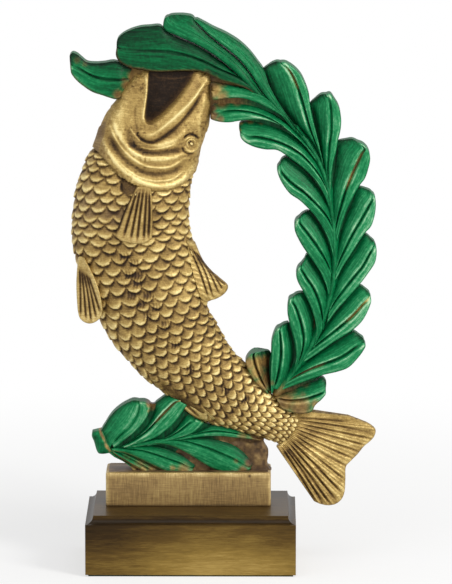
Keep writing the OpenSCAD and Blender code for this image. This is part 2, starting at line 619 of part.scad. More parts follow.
module pectoral_fins() {
    color("gold")
        at_figure()
            raised_on_fish(fin_proud + scale_rise / 2)
                ray_fan(pectoral_root_shares, pectoral_tip_shares, fish_t * 2, fish_t * 2, fish_t * 2);
}

module pelvic_fins() {
    color("gold")
        at_figure()
            difference() {
                for (side = [-1, 1])
                    translate([0, side * pelvic_out, 0])
                        ray_fan(pelvic_root_shares, pelvic_tip_shares, ray_t, ray_t, membrane_t);
                scaled_fish();
            }
}

module dorsal_fin() {
    color("gold")
        at_figure()
            difference() {
                ray_fan(dorsal_root_shares, dorsal_tip_shares, ray_t, ray_t, membrane_t);
                scaled_fish();
            }
}

module anal_fin() {
    color("gold")
        at_figure()
            difference() {
                anal_set();
                scaled_fish();
            }
}

module tail_fin() {
    color("gold")
        at_figure()
            difference() {
                tail_set();
                scaled_fish();
            }
}

module outer_leaves() {
    color("seagreen")
        at_figure()
            difference() {
                outer_set();
                scaled_fish();
                tail_set();
            }
}

module inner_leaves() {
    color("seagreen")
        at_figure()
            difference() {
                inner_set();
                outer_set();
                tail_set();
                lip_set();
                scaled_fish();
            }
}

module crown_leaves() {
    color("seagreen")
        at_figure()
            difference() {
                leaves(crown_leaf_shares, 2 / 3);
                outer_set();
                inner_set();
                lip_set();
                scaled_fish();
            }
}

module short_branch() {
    color("seagreen")
        at_figure()
            difference() {
                short_set();
                anal_set();
                scaled_fish();
            }
}

module branch_cut_end() {
    color("peru")
        at_figure()
            difference() {
                hull()
                    plate(cut_end_shares, leaf_t * stub_share);
                short_set();
            }
}

base_felt();
base_board();
screw_washers();
fixing_screws();
plinth();
rock();
fish_body();
gill_covers();
mouth_lips();
fish_eyes();
pectoral_fins();
pelvic_fins();
dorsal_fin();
anal_fin();
tail_fin();
outer_leaves();
inner_leaves();
crown_leaves();
short_branch();
branch_cut_end();
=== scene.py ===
import math

import bpy
import numpy as np
from mathutils import Matrix, Vector


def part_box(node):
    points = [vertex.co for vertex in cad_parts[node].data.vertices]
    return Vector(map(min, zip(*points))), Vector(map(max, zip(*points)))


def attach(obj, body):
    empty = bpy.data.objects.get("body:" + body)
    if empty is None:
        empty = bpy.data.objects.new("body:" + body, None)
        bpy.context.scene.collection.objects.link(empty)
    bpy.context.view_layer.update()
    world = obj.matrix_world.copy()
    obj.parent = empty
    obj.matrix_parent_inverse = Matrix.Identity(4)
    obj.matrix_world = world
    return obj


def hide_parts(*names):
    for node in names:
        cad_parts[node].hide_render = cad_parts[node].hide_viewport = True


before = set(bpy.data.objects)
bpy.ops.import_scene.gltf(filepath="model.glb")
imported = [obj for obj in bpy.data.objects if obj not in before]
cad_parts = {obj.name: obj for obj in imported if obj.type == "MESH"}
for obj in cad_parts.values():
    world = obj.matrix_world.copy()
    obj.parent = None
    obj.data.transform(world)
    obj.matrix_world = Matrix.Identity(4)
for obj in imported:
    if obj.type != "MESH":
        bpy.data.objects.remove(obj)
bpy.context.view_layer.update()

# Everything is worked out in millimetres in the part's own frame and scaled when a mesh is made. MID_Y is
# the upright plane through the middle of the figure, and MM_PER_PIXEL is the photograph's scale there.
MID_Y = 5.0
PLINTH_TOP = 50.8
FIGURE_H = 246.0
MM_PER_PIXEL = 0.53

# The camera that was fitted to the board in the photograph, in mm and pixels of its 452 by 584 frame
FRAME_H = 584.0
SENSOR = 36.0
YAW, PITCH = math.radians(0.385), math.radians(10.27)
DISTANCE, FOCAL = 2614.7, 4900.9
CENTRE = (226.0, 292.0)
AIM = np.array([18.62, 0.0, 147.74])
BACK = np.array([math.sin(YAW) * math.cos(PITCH), -math.cos(YAW) * math.cos(PITCH), math.sin(PITCH)])
RIGHT = np.array([math.cos(YAW), math.sin(YAW), 0.0])
UP = np.cross(BACK, RIGHT)
EYE = AIM + BACK * DISTANCE


def on_plane(pixels, depth):
    """Points of the photograph laid on upright planes at the named depths."""
    p = np.asarray(pixels, float)
    ray = -BACK + RIGHT * (p[..., :1] - CENTRE[0]) / FOCAL + UP * (CENTRE[1] - p[..., 1:2]) / FOCAL
    t = (depth - EYE[1]) / ray[..., 1]
    return EYE + ray * t[..., None]


def on_screen(points):
    """Where points fall in the photograph, in its pixels."""
    rel = points - EYE
    z = -(rel @ BACK)
    return np.stack([CENTRE[0] + FOCAL * (rel @ RIGHT) / z, CENTRE[1] - FOCAL * (rel @ UP) / z], -1)


def step(low, high, x):
    """A smooth step of x from 0 at low to 1 at high."""
    t = np.clip((x - low) / (high - low), 0, 1)
    return t * t * (3 - 2 * t)


def bell(x, width):
    return np.exp(-((x / width) ** 2))


def rounded(gap, radius):
    """The share of full height at a distance from a rounded edge."""
    return np.sqrt(1 - (1 - np.clip(gap / radius, 0, 1)) ** 2)


def between(first, second, u):
    """A grid of points from one line to another, at the shares u."""
    return first[None] * (1 - u[:, None, None]) + second[None] * u[:, None, None]


def smooth_line(points, count, places=None):
    """A smooth curve through the points, at even spacing or at the named shares of its length."""
    p = np.asarray(points, float)
    t = np.concatenate([[0], np.cumsum(np.linalg.norm(np.diff(p, axis=0), axis=1) ** 0.5 + 1e-6)])
    m = np.gradient(p, t, axis=0)
    fine = np.linspace(0, t[-1], 24 * len(p))
    k = np.clip(np.searchsorted(t, fine, side="right") - 1, 0, len(p) - 2)
    h = t[k + 1] - t[k]
    f = ((fine - t[k]) / h)[:, None]
    h = h[:, None]
    line = ((2 * f**3 - 3 * f**2 + 1) * p[k] + (f**3 - 2 * f**2 + f) * h * m[k]
            + (3 * f**2 - 2 * f**3) * p[k + 1] + (f**3 - f**2) * h * m[k + 1])
    run = np.concatenate([[0], np.cumsum(np.linalg.norm(np.diff(line, axis=0), axis=1))])
    places = np.linspace(0, 1, count) if places is None else np.asarray(places)
    return np.stack([np.interp(places * run[-1], run, line[:, a]) for a in range(p.shape[1])], -1)


def distance(points, line):
    """Distance of points from a line, the same with its side (plus on the left on the screen), and the
    share of the line at which they are nearest."""
    flat = points.reshape(-1, 2)
    best = np.full(len(flat), 1e9)
    side = np.zeros(len(flat))
    place = np.zeros(len(flat))
    for k in range(len(line) - 1):
        a, d = line[k], line[k + 1] - line[k]
        t = np.clip(((flat - a) @ d) / max(d @ d, 1e-9), 0, 1)
        off = flat - a - t[:, None] * d
        r = np.hypot(off[:, 0], off[:, 1])
        near = r < best
        cross = d[0] * (flat[:, 1] - a[1]) - d[1] * (flat[:, 0] - a[0])
        best = np.where(near, r, best)
        side = np.where(near, -np.sign(cross), side)
        place = np.where(near, (k + t) / (len(line) - 1), place)
    shape = points.shape[:-1]
    return best.reshape(shape), (best * side).reshape(shape), place.reshape(shape)


def noise(points, size, seed):
    """Smooth noise between -1 and 1 with lumps of the named size."""
    table = np.random.RandomState(seed).rand(32, 32, 32) * 2 - 1
    q = np.asarray(points, float) / size
    i = np.floor(q).astype(int)
    f = q - i
    f = f * f * (3 - 2 * f)
    out = 0
    for a in (0, 1):
        for b in (0, 1):
            for c in (0, 1):
                w = ((f[..., 0] if a else 1 - f[..., 0]) * (f[..., 1] if b else 1 - f[..., 1])
                     * (f[..., 2] if c else 1 - f[..., 2]))
                out = out + w * table[(i[..., 0] + a) & 31, (i[..., 1] + b) & 31, (i[..., 2] + c) & 31]
    return out


def grid_faces(rows, columns, wrap):
    r = np.arange(rows - 1)[:, None] * columns
    c = np.arange(columns if wrap else columns - 1)[None, :]
    n = (c + 1) % columns
    return np.stack([r + c, r + n, r + columns + n, r + columns + c], -1).reshape(-1, 4)


class Shape:
    """Closed skins gathered into one mesh, with the numbers per point that its paint follows."""

    def __init__(self):
        self.points, self.quads, self.tris, self.values, self.count = [], [], [], [], 0

    def skin(self, points, values, quads, tris):
        """Adds one closed skin and turns its faces outward."""
        volume = 0.0
        for faces, corners in ((quads, (0, 1, 2)), (quads, (0, 2, 3)), (tris, (0, 1, 2))):
            a, b, c = (points[faces[:, k]] for k in corners)
            volume += (a * np.cross(b, c)).sum()
        if volume < 0:
            quads, tris = quads[:, ::-1], tris[:, ::-1]
        self.points.append(points)
        self.values.append(values)
        self.quads.append(quads + self.count)
        self.tris.append(tris + self.count)
        self.count += len(points)

    def tube(self, rings, values):
        """A closed skin through rings of points.

        Values holds, for each point, relief (how high and bright it is brushed, and where shade and
        highlights are painted), bare (how much undercoat shows, and the brown of painted shade along the
        fish's belly) and two lengths in mm that brush strokes follow.
        """
        rows, columns = rings.shape[:2]
        points = np.concatenate([rings.reshape(-1, 3), [rings[0].mean(0)], [rings[-1].mean(0)]])
        held = np.concatenate([values.reshape(-1, 4), [values[0].mean(0)], [values[-1].mean(0)]])
        c = np.arange(columns)
        n = (c + 1) % columns
        centre, last = rows * columns, (rows - 1) * columns
        tris = np.concatenate([np.stack([n, c, np.full(columns, centre)], -1),
                               np.stack([c + last, n + last, np.full(columns, centre + 1)], -1)])
        self.skin(points, held, grid_faces(rows, columns, True), tris)

    def sheet(self, front, rear, values):
        """A closed skin of two grids with a wall between their borders."""
        rows, columns = front.shape[:2]
        size = rows * columns
        face = grid_faces(rows, columns, False)
        top = np.arange(columns)
        right = np.arange(1, rows) * columns + columns - 1
        bottom = (rows - 1) * columns + np.arange(columns - 2, -1, -1)
        left = np.arange(rows - 2, 0, -1) * columns
        loop = np.concatenate([top, right, bottom, left])
        after = np.roll(loop, -1)
        wall = np.stack([after, loop, loop + size, after + size], -1)
        points = np.concatenate([front.reshape(-1, 3), rear.reshape(-1, 3)])
        quads = np.concatenate([face, face[:, ::-1] + size, wall])
        self.skin(points, np.concatenate([values.reshape(-1, 4)] * 2), quads, np.zeros((0, 3), int))

    def both(self, flat, half, relief, bare):
        """A sheet that reaches as far in front of the middle plane as behind it."""
        front, rear = flat.copy(), flat.copy()
        front[..., 1] = MID_Y - half
        rear[..., 1] = MID_Y + half
        self.sheet(front, rear, np.stack([relief, bare, flat[..., 2], flat[..., 0]], -1))

    def make(self, name, material):
        points = np.concatenate(self.points) * 0.001
        quads = np.concatenate(self.quads)
        tris = np.concatenate(self.tris)
        values = np.concatenate(self.values)
        mesh = bpy.data.meshes.new(name)
        mesh.vertices.add(len(points))
        mesh.vertices.foreach_set("co", points.astype(np.float32).ravel())
        loops = np.concatenate([quads.ravel(), tris.ravel()])
        total = np.concatenate([np.full(len(quads), 4), np.full(len(tris), 3)])
        mesh.loops.add(len(loops))
        mesh.loops.foreach_set("vertex_index", loops.astype(np.int32))
        mesh.polygons.add(len(total))
        mesh.polygons.foreach_set("loop_start", np.concatenate([[0], np.cumsum(total)[:-1]]).astype(np.int32))
        mesh.polygons.foreach_set("use_smooth", np.ones(len(total), bool))
        for k, label in enumerate(("relief", "bare")):
            layer = mesh.attributes.new(label, "FLOAT", "POINT")
            layer.data.foreach_set("value", values[:, k].astype(np.float32))
        layer = mesh.attributes.new("flow", "FLOAT_VECTOR", "POINT")
        flow = np.stack([values[:, 2], values[:, 3], np.zeros(len(values))], -1)
        layer.data.foreach_set("vector", flow.astype(np.float32).ravel())
        mesh.update()
        mesh.validate()
        piece = bpy.data.objects.new(name, mesh)
        bpy.context.scene.collection.objects.link(piece)
        mesh.materials.append(material)
        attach(piece, "root")
        return piece


# Leaves
# Each leaf is read off the photograph as three lines from its root to its tip: the near edge, which sinks
# under the neighbouring leaf, the groove along its rib, and the far edge, which stands high. INNER and
# OUTER are the places of its points from the near edge to the rib and from there to the far edge, and
# WALL those of the wall between front and rear, in shares.
INNER = np.array([0, 0.03, 0.08, 0.15, 0.23, 0.32, 0.42, 0.52, 0.62, 0.71, 0.79, 0.86, 0.91, 0.945, 0.975,
                  1.0])
OUTER = np.array([0.03, 0.065, 0.11, 0.17, 0.25, 0.35, 0.46, 0.57, 0.67, 0.76, 0.83, 0.89, 0.94, 0.975, 1.0])
WALL = np.array([0.72, 0.36, 0.0, -0.36, -0.72])
LEAF_ROWS = 84
ROOT_LOW = 0.74
# In mm: the width of the groove, place and width of the lip beside it, and the radius of the far edge
GROOVE_W = 0.85
LIP_AT, LIP_W = 1.9, 0.9
FAR_RADIUS = 2.1


def rises(near, far):
    """How far each edge of a leaf faces up on the screen, from the direction of its outline."""
    outline = np.concatenate([near, far[::-1]])
    way = np.gradient(outline, axis=0)
    way = np.stack([np.convolve(np.pad(way[:, a], 4, mode="edge"), np.ones(9) / 9, "valid")
                    for a in (0, 1)], -1)
    out = np.stack([way[:, 1], -way[:, 0]], -1)
    side = np.sign(((outline - outline.mean(0)) * out).sum())
    rise = -side * out[:, 1] / np.maximum(np.hypot(out[:, 0], out[:, 1]), 1e-6)
    return rise[:len(near)], rise[len(near):][::-1]


def leaf_rings(near, rib, far, seed, crest=7.3, valley=3.2, groove=1.5, rim=4.6, lobe=0.4, taper=1.0,
               near_front=False, shade=0.0, line=1.0, dim=0.0, soft=1.0, spots=(), rust=None,
               rust_near=None, edge_bare=0.0, wall_bare=0.08, wall_tone=0.42):
    """Closed rings of one leaf from its root to its tip, and the values that its paint follows.

    In mm from the middle plane, crest is the height along the rib, valley that at the near edge and rim
    that at the far edge and the tip. Groove is the depth of the groove, lobe the swell of the far half and
    taper the share of the height that is left at the root. With near_front the near edge was read off the
    front of the leaf, not off its middle. The rest is for the paint: shade and dim darken the leaf and its
    root, line and soft say how strongly rib and edges are brushed, and spots, rust and the bare values let
    the undercoat show. Line and soft also set how deep the painted shade is in the groove and along the
    near edge, where it sinks under the next leaf.
    """
    tip = (np.array(near[-1], float) + np.array(far[-1], float)) / 2
    share = np.linspace(0, 1, LEAF_ROWS) ** 0.9
    share[-1] = 0.997
    edge_n, middle, edge_f = (smooth_line(list(side) + [tip], LEAF_ROWS, share) for side in (near, rib, far))
    rise_n, rise_f = rises(edge_n, edge_f)
    rise_n = -1 + 0 * rise_n if near_front else rise_n
    n = on_plane(edge_n, MID_Y + 0.9 * rim * rise_n)
    f = on_plane(edge_f, MID_Y + 0.9 * rim * rise_f)
    ends = step(0.82, 1, share)
    m = on_plane(middle, MID_Y - 0.93 * crest * (1 - ends) + 0.45 * rim * (rise_n + rise_f) * ends)
    u = share[:, None]
    wide_in = np.linalg.norm(m - n, axis=1)[:, None]
    wide_out = np.linalg.norm(f - m, axis=1)[:, None]
    t_in, t_out = INNER[None, :], OUTER[None, :]
    from_near, gap = t_in * wide_in, (1 - t_out) * wide_out
    rib_in, rib_out = (1 - t_in) * wide_in, t_out * wide_out
    across = np.concatenate([-rib_in, rib_out], 1)
    from_rib = np.abs(across)
    along = np.broadcast_to(u * np.linalg.norm(np.diff(m, axis=0), axis=1).sum(), across.shape)

    # Height over the middle plane
    top = crest * (ROOT_LOW + (1 - ROOT_LOW) * step(0, 0.28, u)) * (1 - 0.1 * step(0.8, 1, u))
    low = valley + (rim - valley) * step(0.86, 0.99, u) + 0.9 * (1 - step(0, 0.2, u))
    climb = 0.25 * step(0, 0.35, t_in) + 0.75 * step(0.05, 0.9, t_in)
    h_in = low + (top - low) * np.minimum(1, wide_in / 4.0) * climb
    lift = lobe * np.sin(np.pi * np.clip(t_out * 1.15, 0, 1))
    cap = rounded(gap, FAR_RADIUS)
    edge_h = np.minimum(rim + 1.0 - 0.8 * step(0.8, 1, u), top)
    h_out = edge_h + (top + lift - edge_h) * cap
    cut = groove * step(0.02, 0.12, u) * (1 - step(0.8, 0.95, u))
    height = np.concatenate([h_in, h_out], 1)
    height = height - cut * bell(from_rib, GROOVE_W) + 0.25 * line * bell(from_rib - LIP_AT, LIP_W)
    q = np.stack([along, across * 7, np.full(across.shape, seed * 5.3)], -1)
    carving = 0.2 * noise(q, 8.0, 11) + 0.12 * noise(q * 2.3, 8.0, 12)
    to_side = np.where(across < 0, wide_in + across, wide_out - across)
    height = height + carving * np.minimum(1, to_side / 1.6)
    height = height * (taper + (1 - taper) * step(0, 0.22, u))
    flat = np.concatenate([n[:, None] + (m - n)[:, None] * t_in[..., None],
                           m[:, None] + (f - m)[:, None] * t_out[..., None]], 1)
    front = np.stack([flat[..., 0], MID_Y - height, flat[..., 2]], -1)
    rear = np.stack([flat[..., 0], MID_Y + height, flat[..., 2]], -1)

    # Paint
    broken = line * (0.75 + 0.7 * noise(q * 0.8 + 3, 8.0, 13))
    # Painted shade: the leaf is darker along its near edge, where it sinks under the next leaf
    relief_in = (0.53 + 0.12 * step(0.3, 0.9, t_in)
                 - soft * (0.24 * bell(from_near - 0.8, 2.1) + 0.14 * bell(from_near, 0.8))
                 + 0.32 * broken[:, :len(INNER)] * bell(rib_in - 2.0, 0.9) * step(0.1, 0.5, u)
                 - dim * step(0, 0.3, u))
    relief_out = (0.56 + 0.3 * broken[:, len(INNER):] * bell(rib_out - 2.0, 0.9)
                  + 0.22 * soft * bell(gap - 1.4, 0.9) - 0.12 * (1 - cap)
                  + 0.14 * bell(t_out - 0.5, 0.3) * step(0.25, 0.6, u))
    # Painted shade in the rib groove, on top of the darker paint that lies there
    dark = 0.42 * line * bell(from_rib, 0.8) * np.minimum(1, cut / 0.9)
    relief = np.concatenate([relief_in, relief_out], 1) + shade - dark + 0.16 * carving
    bare = edge_bare * np.concatenate([0 * from_near, bell(gap, 1.5)], 1)
    if rust:
        stain = bell(across, 1.2) * step(rust[0] - 0.15, rust[0], u) * (1 - step(rust[1], rust[1] + 0.15, u))
        bare, relief = np.maximum(bare, 0.75 * stain), relief + 0.2 * stain
    if rust_near:
        stain = bell(from_near, 1.2) * step(rust_near[0] - 0.1, rust_near[0], u) * (1 - step(*rust_near, u))
        bare[:, :len(INNER)] = np.maximum(bare[:, :len(INNER)], 0.85 * stain)
    screen = on_screen(front)
    for x, y, radius, amount in spots:
        bare = np.maximum(bare, amount * bell(np.hypot(screen[..., 0] - x, screen[..., 1] - y), radius))
    value = np.stack([relief, bare, along, across], -1)

    def wall(edge, half, facing):
        y = MID_Y - facing * half[:, None] * WALL[None, :]
        return np.stack([edge[:, :1] + 0 * y, y, edge[:, 2:] + 0 * y], -1)

    walls = [np.repeat(edge, len(WALL), 1) for edge in (value[:, -1:], value[:, :1])]
    for part in walls:
        part[..., 0] = wall_tone
        part[..., 1] = np.maximum(part[..., 1], wall_bare)
        part[..., 3] += np.linspace(0.5, 3.5, len(WALL))
    rings = [front, wall(f, height[:, -1], 1), rear[:, ::-1], wall(n, height[:, 0], -1)]
    return np.concatenate(rings, 1), np.concatenate([value, walls[0], value[:, ::-1], walls[1]], 1)


OUTER_LEAVES = {
    "R2": dict(
        near=[(323, 168), (319, 154), (310, 141), (300, 130), (290, 118), (280, 104), (272, 90), (266, 77),
            (263, 69), (269, 63), (276, 59.5)],
        rib=[(323, 163), (317, 146), (311, 130), (306, 113), (301, 96), (295, 80), (289, 69)],
        far=[(325, 170), (321, 152), (317, 134), (313, 118), (310, 103), (309, 94), (305.5, 83), (300, 72),
            (292, 64), (285, 60)],
        rust=(0.75, 0.85), soft=1.35),
    "R3": dict(
        near=[(326, 180), (322, 162), (319, 143), (316, 126), (313, 113), (310, 103), (315, 97), (321, 92.5)],
        rib=[(329, 185), (328, 168), (329, 150), (331, 132), (331.5, 116), (330, 102)],
        far=[(330, 192), (331, 175), (333, 162), (336, 150), (338, 139), (340.5, 128), (341, 117),
            (338.5, 105), (334, 97), (330, 91.5)],
        groove=1.1, soft=1.2, line=0.7),
    "R4": dict(
        near=[(332, 220), (331, 203), (332, 186), (335, 168), (337, 152), (338, 140), (346, 137.5),
            (352, 137)],
        rib=[(335, 232), (339, 214), (345, 193), (351, 177), (357, 164), (362, 154), (365, 148)],
        far=[(337, 240), (341, 224), (347, 208), (353, 196), (360, 184), (364.5, 178), (368, 168), (370, 157),
            (368, 148), (363, 142)],
        rust=(0.5, 0.8)),
    "R5": dict(
        near=[(334, 262), (337, 245), (341, 230), (347, 213), (353, 199), (359, 185.5), (366, 187),
            (370, 189)],
        rib=[(336, 270), (341, 258), (348, 243), (355, 230), (362, 218), (368, 208), (372, 199)],
        far=[(335, 280), (343, 265), (351, 253), (358, 242), (365, 232), (370.5, 226), (374, 216),
            (375.6, 205), (375.2, 197), (373.8, 193)],
        shade=0.08),
    "R6": dict(
        near=[(331, 298), (336, 281), (342, 268), (350, 255), (358, 243), (365, 232), (370.5, 236.5),
            (374, 240)],
        rib=[(329, 312), (337, 299), (346, 287), (354, 277), (362, 267), (368, 257), (372, 248)],
        far=[(327, 322), (335, 311), (344, 301), (352, 292), (360, 283), (367.5, 273), (374.5, 262),
            (376.3, 254), (376.3, 247), (375.4, 243.5)],
        shade=0.08),
    "R7": dict(
        near=[(313, 345), (321, 331), (331, 317), (341, 304), (351, 292), (360, 283.5), (365, 287),
            (369, 291)],
        rib=[(309, 352), (318, 344), (328, 336), (339, 327.5), (349, 319), (357, 311), (363, 304),
            (367, 298)],
        far=[(303, 362), (317, 353), (331, 343), (342, 336), (353, 329), (362, 320), (368, 309), (371, 300),
            (370.5, 295)],
        rust=(0.62, 0.9), shade=0.06),
    "R8": dict(
        near=[(292, 372), (304, 361), (318, 351), (331, 342), (344, 334), (353, 329), (359, 333),
            (363, 336.5)],
        rib=[(286, 383), (298, 375), (312, 368), (326, 363), (338, 358.5), (347, 353.5), (355, 347),
            (361, 341)],
        far=[(277, 391), (292, 385.5), (308, 379.5), (323, 374.5), (338, 371), (348, 367), (357, 358),
            (363, 350), (365.5, 344)],
        rust=(0.12, 0.42)),
    "R9": dict(
        near=[(274, 394), (288, 389), (303, 383), (316, 378), (322, 375), (326, 380.5)],
        rib=[(276, 398), (288, 400), (301, 399.5), (313, 396.5), (322, 392.5)],
        far=[(282, 408), (292, 412), (302, 413), (311, 411), (315, 404.5), (321, 399), (325.5, 393)],
        spots=[(300, 408, 13, 1.0), (285, 402, 12, 1.0), (303, 395, 5, 0.55), (290, 389, 9, 0.7),
            (315, 404, 6, 0.8), (276, 397, 7, 0.9), (305, 383, 6, 0.6)], groove=1.2, crest=6.8),
}

INNER_LEAVES = {
    "L8": dict(
        near=[(272, 391), (271, 378), (270.5, 364), (270.5, 352), (267.5, 348.5)],
        rib=[(266, 389), (260, 378), (256.5, 369), (254, 361), (253, 354)],
        far=[(268, 393), (258, 384), (251, 374), (246.5, 365), (245.5, 359), (248.5, 353), (254, 349)],
        spots=[(257, 372, 9, 1.0), (249, 364, 8, 1.0), (258, 363, 8, 1.0), (266, 362, 8, 1.0),
            (262, 385, 9, 1.0), (268, 378, 8, 1.0)], valley=2.4, dim=0.3),
    "L7": dict(
        near=[(283, 390), (289, 376), (292.5, 362), (294, 349), (292, 336), (289, 326), (288, 320.5),
            (284.5, 321)],
        rib=[(273.5, 389), (277.5, 376), (280, 363), (281, 350), (280.5, 338), (279.5, 330)],
        far=[(271.5, 392), (270.5, 380), (270.5, 367), (271, 352), (271.5, 340), (274, 331), (276.5, 326)],
        spots=[(272, 383, 3.5, 0.6)], rust_near=(0.12, 0.5)),
    "L6": dict(
        near=[(300, 368), (307, 356), (312.5, 343), (315, 328), (313.5, 313), (309, 301), (303, 290.5),
            (297, 291)],
        rib=[(298, 364), (302, 350), (303.5, 339), (302, 328), (299.5, 318), (296.5, 309), (292.5, 301)],
        far=[(289, 378), (294, 366), (296, 354), (295, 343), (292, 332), (289, 320), (287.3, 310), (288, 301),
            (289, 296.5)],
        rust_near=(0.45, 0.75)),
    "L5": dict(
        near=[(324, 330), (327.5, 314), (329.5, 299), (327, 285), (320, 271), (313, 260.5), (307, 252),
            (304, 258)],
        rib=[(323, 328), (322, 316), (320, 306), (316.5, 295.5), (312, 286), (306, 277), (301.5, 269)],
        far=[(313, 348), (316, 335), (315.5, 322), (312.5, 311), (308, 300), (303, 290), (298, 281),
            (296, 273), (297.5, 266)]),
    "L4": dict(
        near=[(333, 274), (332.5, 259), (329.5, 245), (324, 231), (316.5, 218.5), (308, 209), (303, 211)],
        rib=[(331, 272), (325.5, 260), (319, 249.5), (312.5, 240), (306, 231), (300, 223)],
        far=[(330, 298), (326, 284), (320, 271), (313, 260), (307, 252), (300, 241), (295, 230),
            (294.3, 222.5), (295.7, 218)]),
    "L3": dict(
        near=[(334, 220), (329.5, 205), (322, 191.5), (313.5, 179), (303.5, 167.5), (294, 160),
            (285.5, 154.8), (282, 157)],
        rib=[(333, 228), (327, 217), (319.5, 207.5), (311.5, 199.5), (303, 191.5), (294, 185), (287, 179),
            (281.5, 171.5)],
        far=[(334, 258), (329.5, 241), (323, 227), (316, 216), (308, 207.5), (300, 200), (290, 193),
            (282, 182), (278, 173), (277, 166)]),
    "L2": dict(
        near=[(326, 180), (319.5, 164), (310.5, 150), (300, 138), (288, 128.5), (274, 122), (258, 119.5),
            (246, 119.5), (240, 121.5), (239, 126)],
        rib=[(328, 192), (321.5, 179), (312.5, 166), (302.5, 155.5), (291.5, 148), (281, 143.2), (270, 139.5),
            (258, 137), (248, 136)],
        far=[(331, 210), (323.5, 192), (315, 179), (304.5, 168.5), (294, 160.5), (285, 154), (277, 149.7),
            (265, 149), (253, 146), (244, 141), (240.5, 136)],
        spots=[(240, 121, 4, 1.0), (250, 119.5, 4.5, 1.0), (261, 120.5, 4.5, 0.8), (239, 130, 3, 0.5)],
            valley=2.4),
    "L1": dict(
        near=[(319, 160), (310, 145), (298, 130.5), (285, 118.5), (270, 109), (255, 103.5), (240, 101),
            (226, 100.5), (213, 103)],
        rib=[(313, 157), (301, 142), (286, 129), (270, 118.8), (255, 113), (240, 110.5), (225, 111),
            (214, 113)],
        far=[(320, 164), (311.5, 151), (301.5, 139.5), (288, 128.5), (272, 121.5), (255, 119), (239, 120.5),
            (229, 122), (217, 121), (210.5, 117.5)],
        spots=[(212, 108, 5, 1.0), (213, 116, 6, 1.0), (220, 119, 5, 0.8), (222, 101, 8, 1.0),
            (237, 101, 6, 0.8)], crest=7.0, valley=2.4, line=0.7),
    "L0": dict(
        near=[(296, 124), (284, 111), (272, 99), (260, 91), (248, 86.5), (235, 84), (222, 81.5), (211, 81)],
        rib=[(296, 127), (284, 115), (268, 100), (250, 93), (235, 91), (220, 90), (211, 90)],
        far=[(298, 132), (285, 118), (270, 108.5), (255, 101.5), (240, 97.5), (226, 98), (213, 99)],
        spots=[(213, 90, 11, 1.0), (222, 97, 8, 0.8), (222, 83, 6, 0.7)], groove=0.0, crest=6.6, valley=4.6,
            rim=4.2, line=0.2, taper=0.45),
}

CROWN_LEAVES = {
    "T3": dict(
        near=[(303, 133), (290, 117), (277, 98), (269, 83), (264, 69), (257, 59), (250, 50), (243, 43),
            (236, 37.5), (225, 31), (213, 25.5), (204, 20.5), (197, 17)],
        rib=[(300, 133), (283, 112), (268, 90), (257, 73), (247, 60), (236, 49.5), (224, 40), (212, 31.5),
            (202, 23.5)],
        far=[(294, 130), (276, 108), (262, 90), (251, 73), (240, 59.5), (229, 49.5), (217, 40.5), (206, 31.5),
            (197.5, 22.5), (193.5, 17.5)],
        groove=0.0, crest=7.0, valley=5.9, rim=5.0, shade=-0.03, line=0.15, soft=0.25),
    "T2": dict(
        near=[(276, 108), (262, 90), (252, 75), (241, 61), (230, 51), (218, 41.5), (207, 32.5), (198, 23.5),
            (193, 15), (186, 13), (178, 12.6), (171, 13.2)],
        rib=[(270, 105), (256, 87), (244, 72), (230, 58.5), (215, 47), (200, 37), (186, 29), (174, 22)],
        far=[(268, 108), (254, 92), (242, 78.5), (230, 67), (217, 56.5), (203, 47.5), (188, 40), (175, 34.5),
            (166, 30), (163.3, 25), (164, 19.5), (166, 15.5)],
        groove=0.15, crest=7.1, valley=5.6, rim=5.0, lobe=0.5, shade=-0.1, line=0.25, soft=0.3,
            spots=[(173, 18, 2.0, 0.2)]),
    "T1": dict(
        near=[(262, 98), (250, 86), (240, 76), (229, 66), (216, 56), (203, 47.5), (188, 40), (175, 34.5),
            (166, 29), (160, 23.8), (150, 24.2), (141, 25), (131, 28), (122, 33), (117.5, 38.5)],
        rib=[(264, 98), (252, 86), (241, 78), (230, 73), (219, 68.5), (208, 63), (196, 58), (183, 54),
            (168, 51.5), (152, 50.7), (136, 50.3), (126, 49)],
        far=[(264, 103), (250, 90), (236, 84.5), (222, 80.5), (211, 75), (200, 71), (185, 70.5), (165, 71.3),
            (150, 70.8), (140, 68.7), (131, 67.5), (124, 64.5), (118.5, 60), (116, 54)],
        groove=1.0, crest=7.5, valley=4.8, rim=4.9, shade=-0.28, line=0.45, edge_bare=0.7, soft=0.45,
            spots=[(120, 62, 3, 0.5), (130, 68, 4, 0.7), (142, 71, 4, 0.9), (207, 74, 5, 0.8),
            (214, 79, 5, 0.8)]),
    "T0": dict(
        near=[(137, 70), (131, 67), (125, 64), (115, 59.5), (104, 60.8), (95, 61.3), (87, 60.2), (81.5, 56),
            (77, 52.3), (73, 51), (70.3, 53.5), (70, 58.5)],
        rib=[(134, 79.5), (128, 79.5), (121, 79.8), (108, 79), (96, 76.8), (87, 72.8), (79, 68)],
        far=[(127, 91), (122, 97), (116.5, 99), (110, 97.5), (102, 94.8), (93, 91.8), (84, 86), (76, 79),
            (71.5, 72.5), (70.7, 68)],
        groove=1.0, crest=6.6, valley=4.9, rim=4.2, shade=-0.14, line=0.7, edge_bare=0.45, taper=0.3,
            spots=[(77, 60, 4.5, 0.6), (85, 64, 4, 0.5), (118, 95, 6, 0.9), (127, 85, 6, 1.0),
            (133, 76, 6, 1.0), (124, 80, 4, 0.6)]),
}

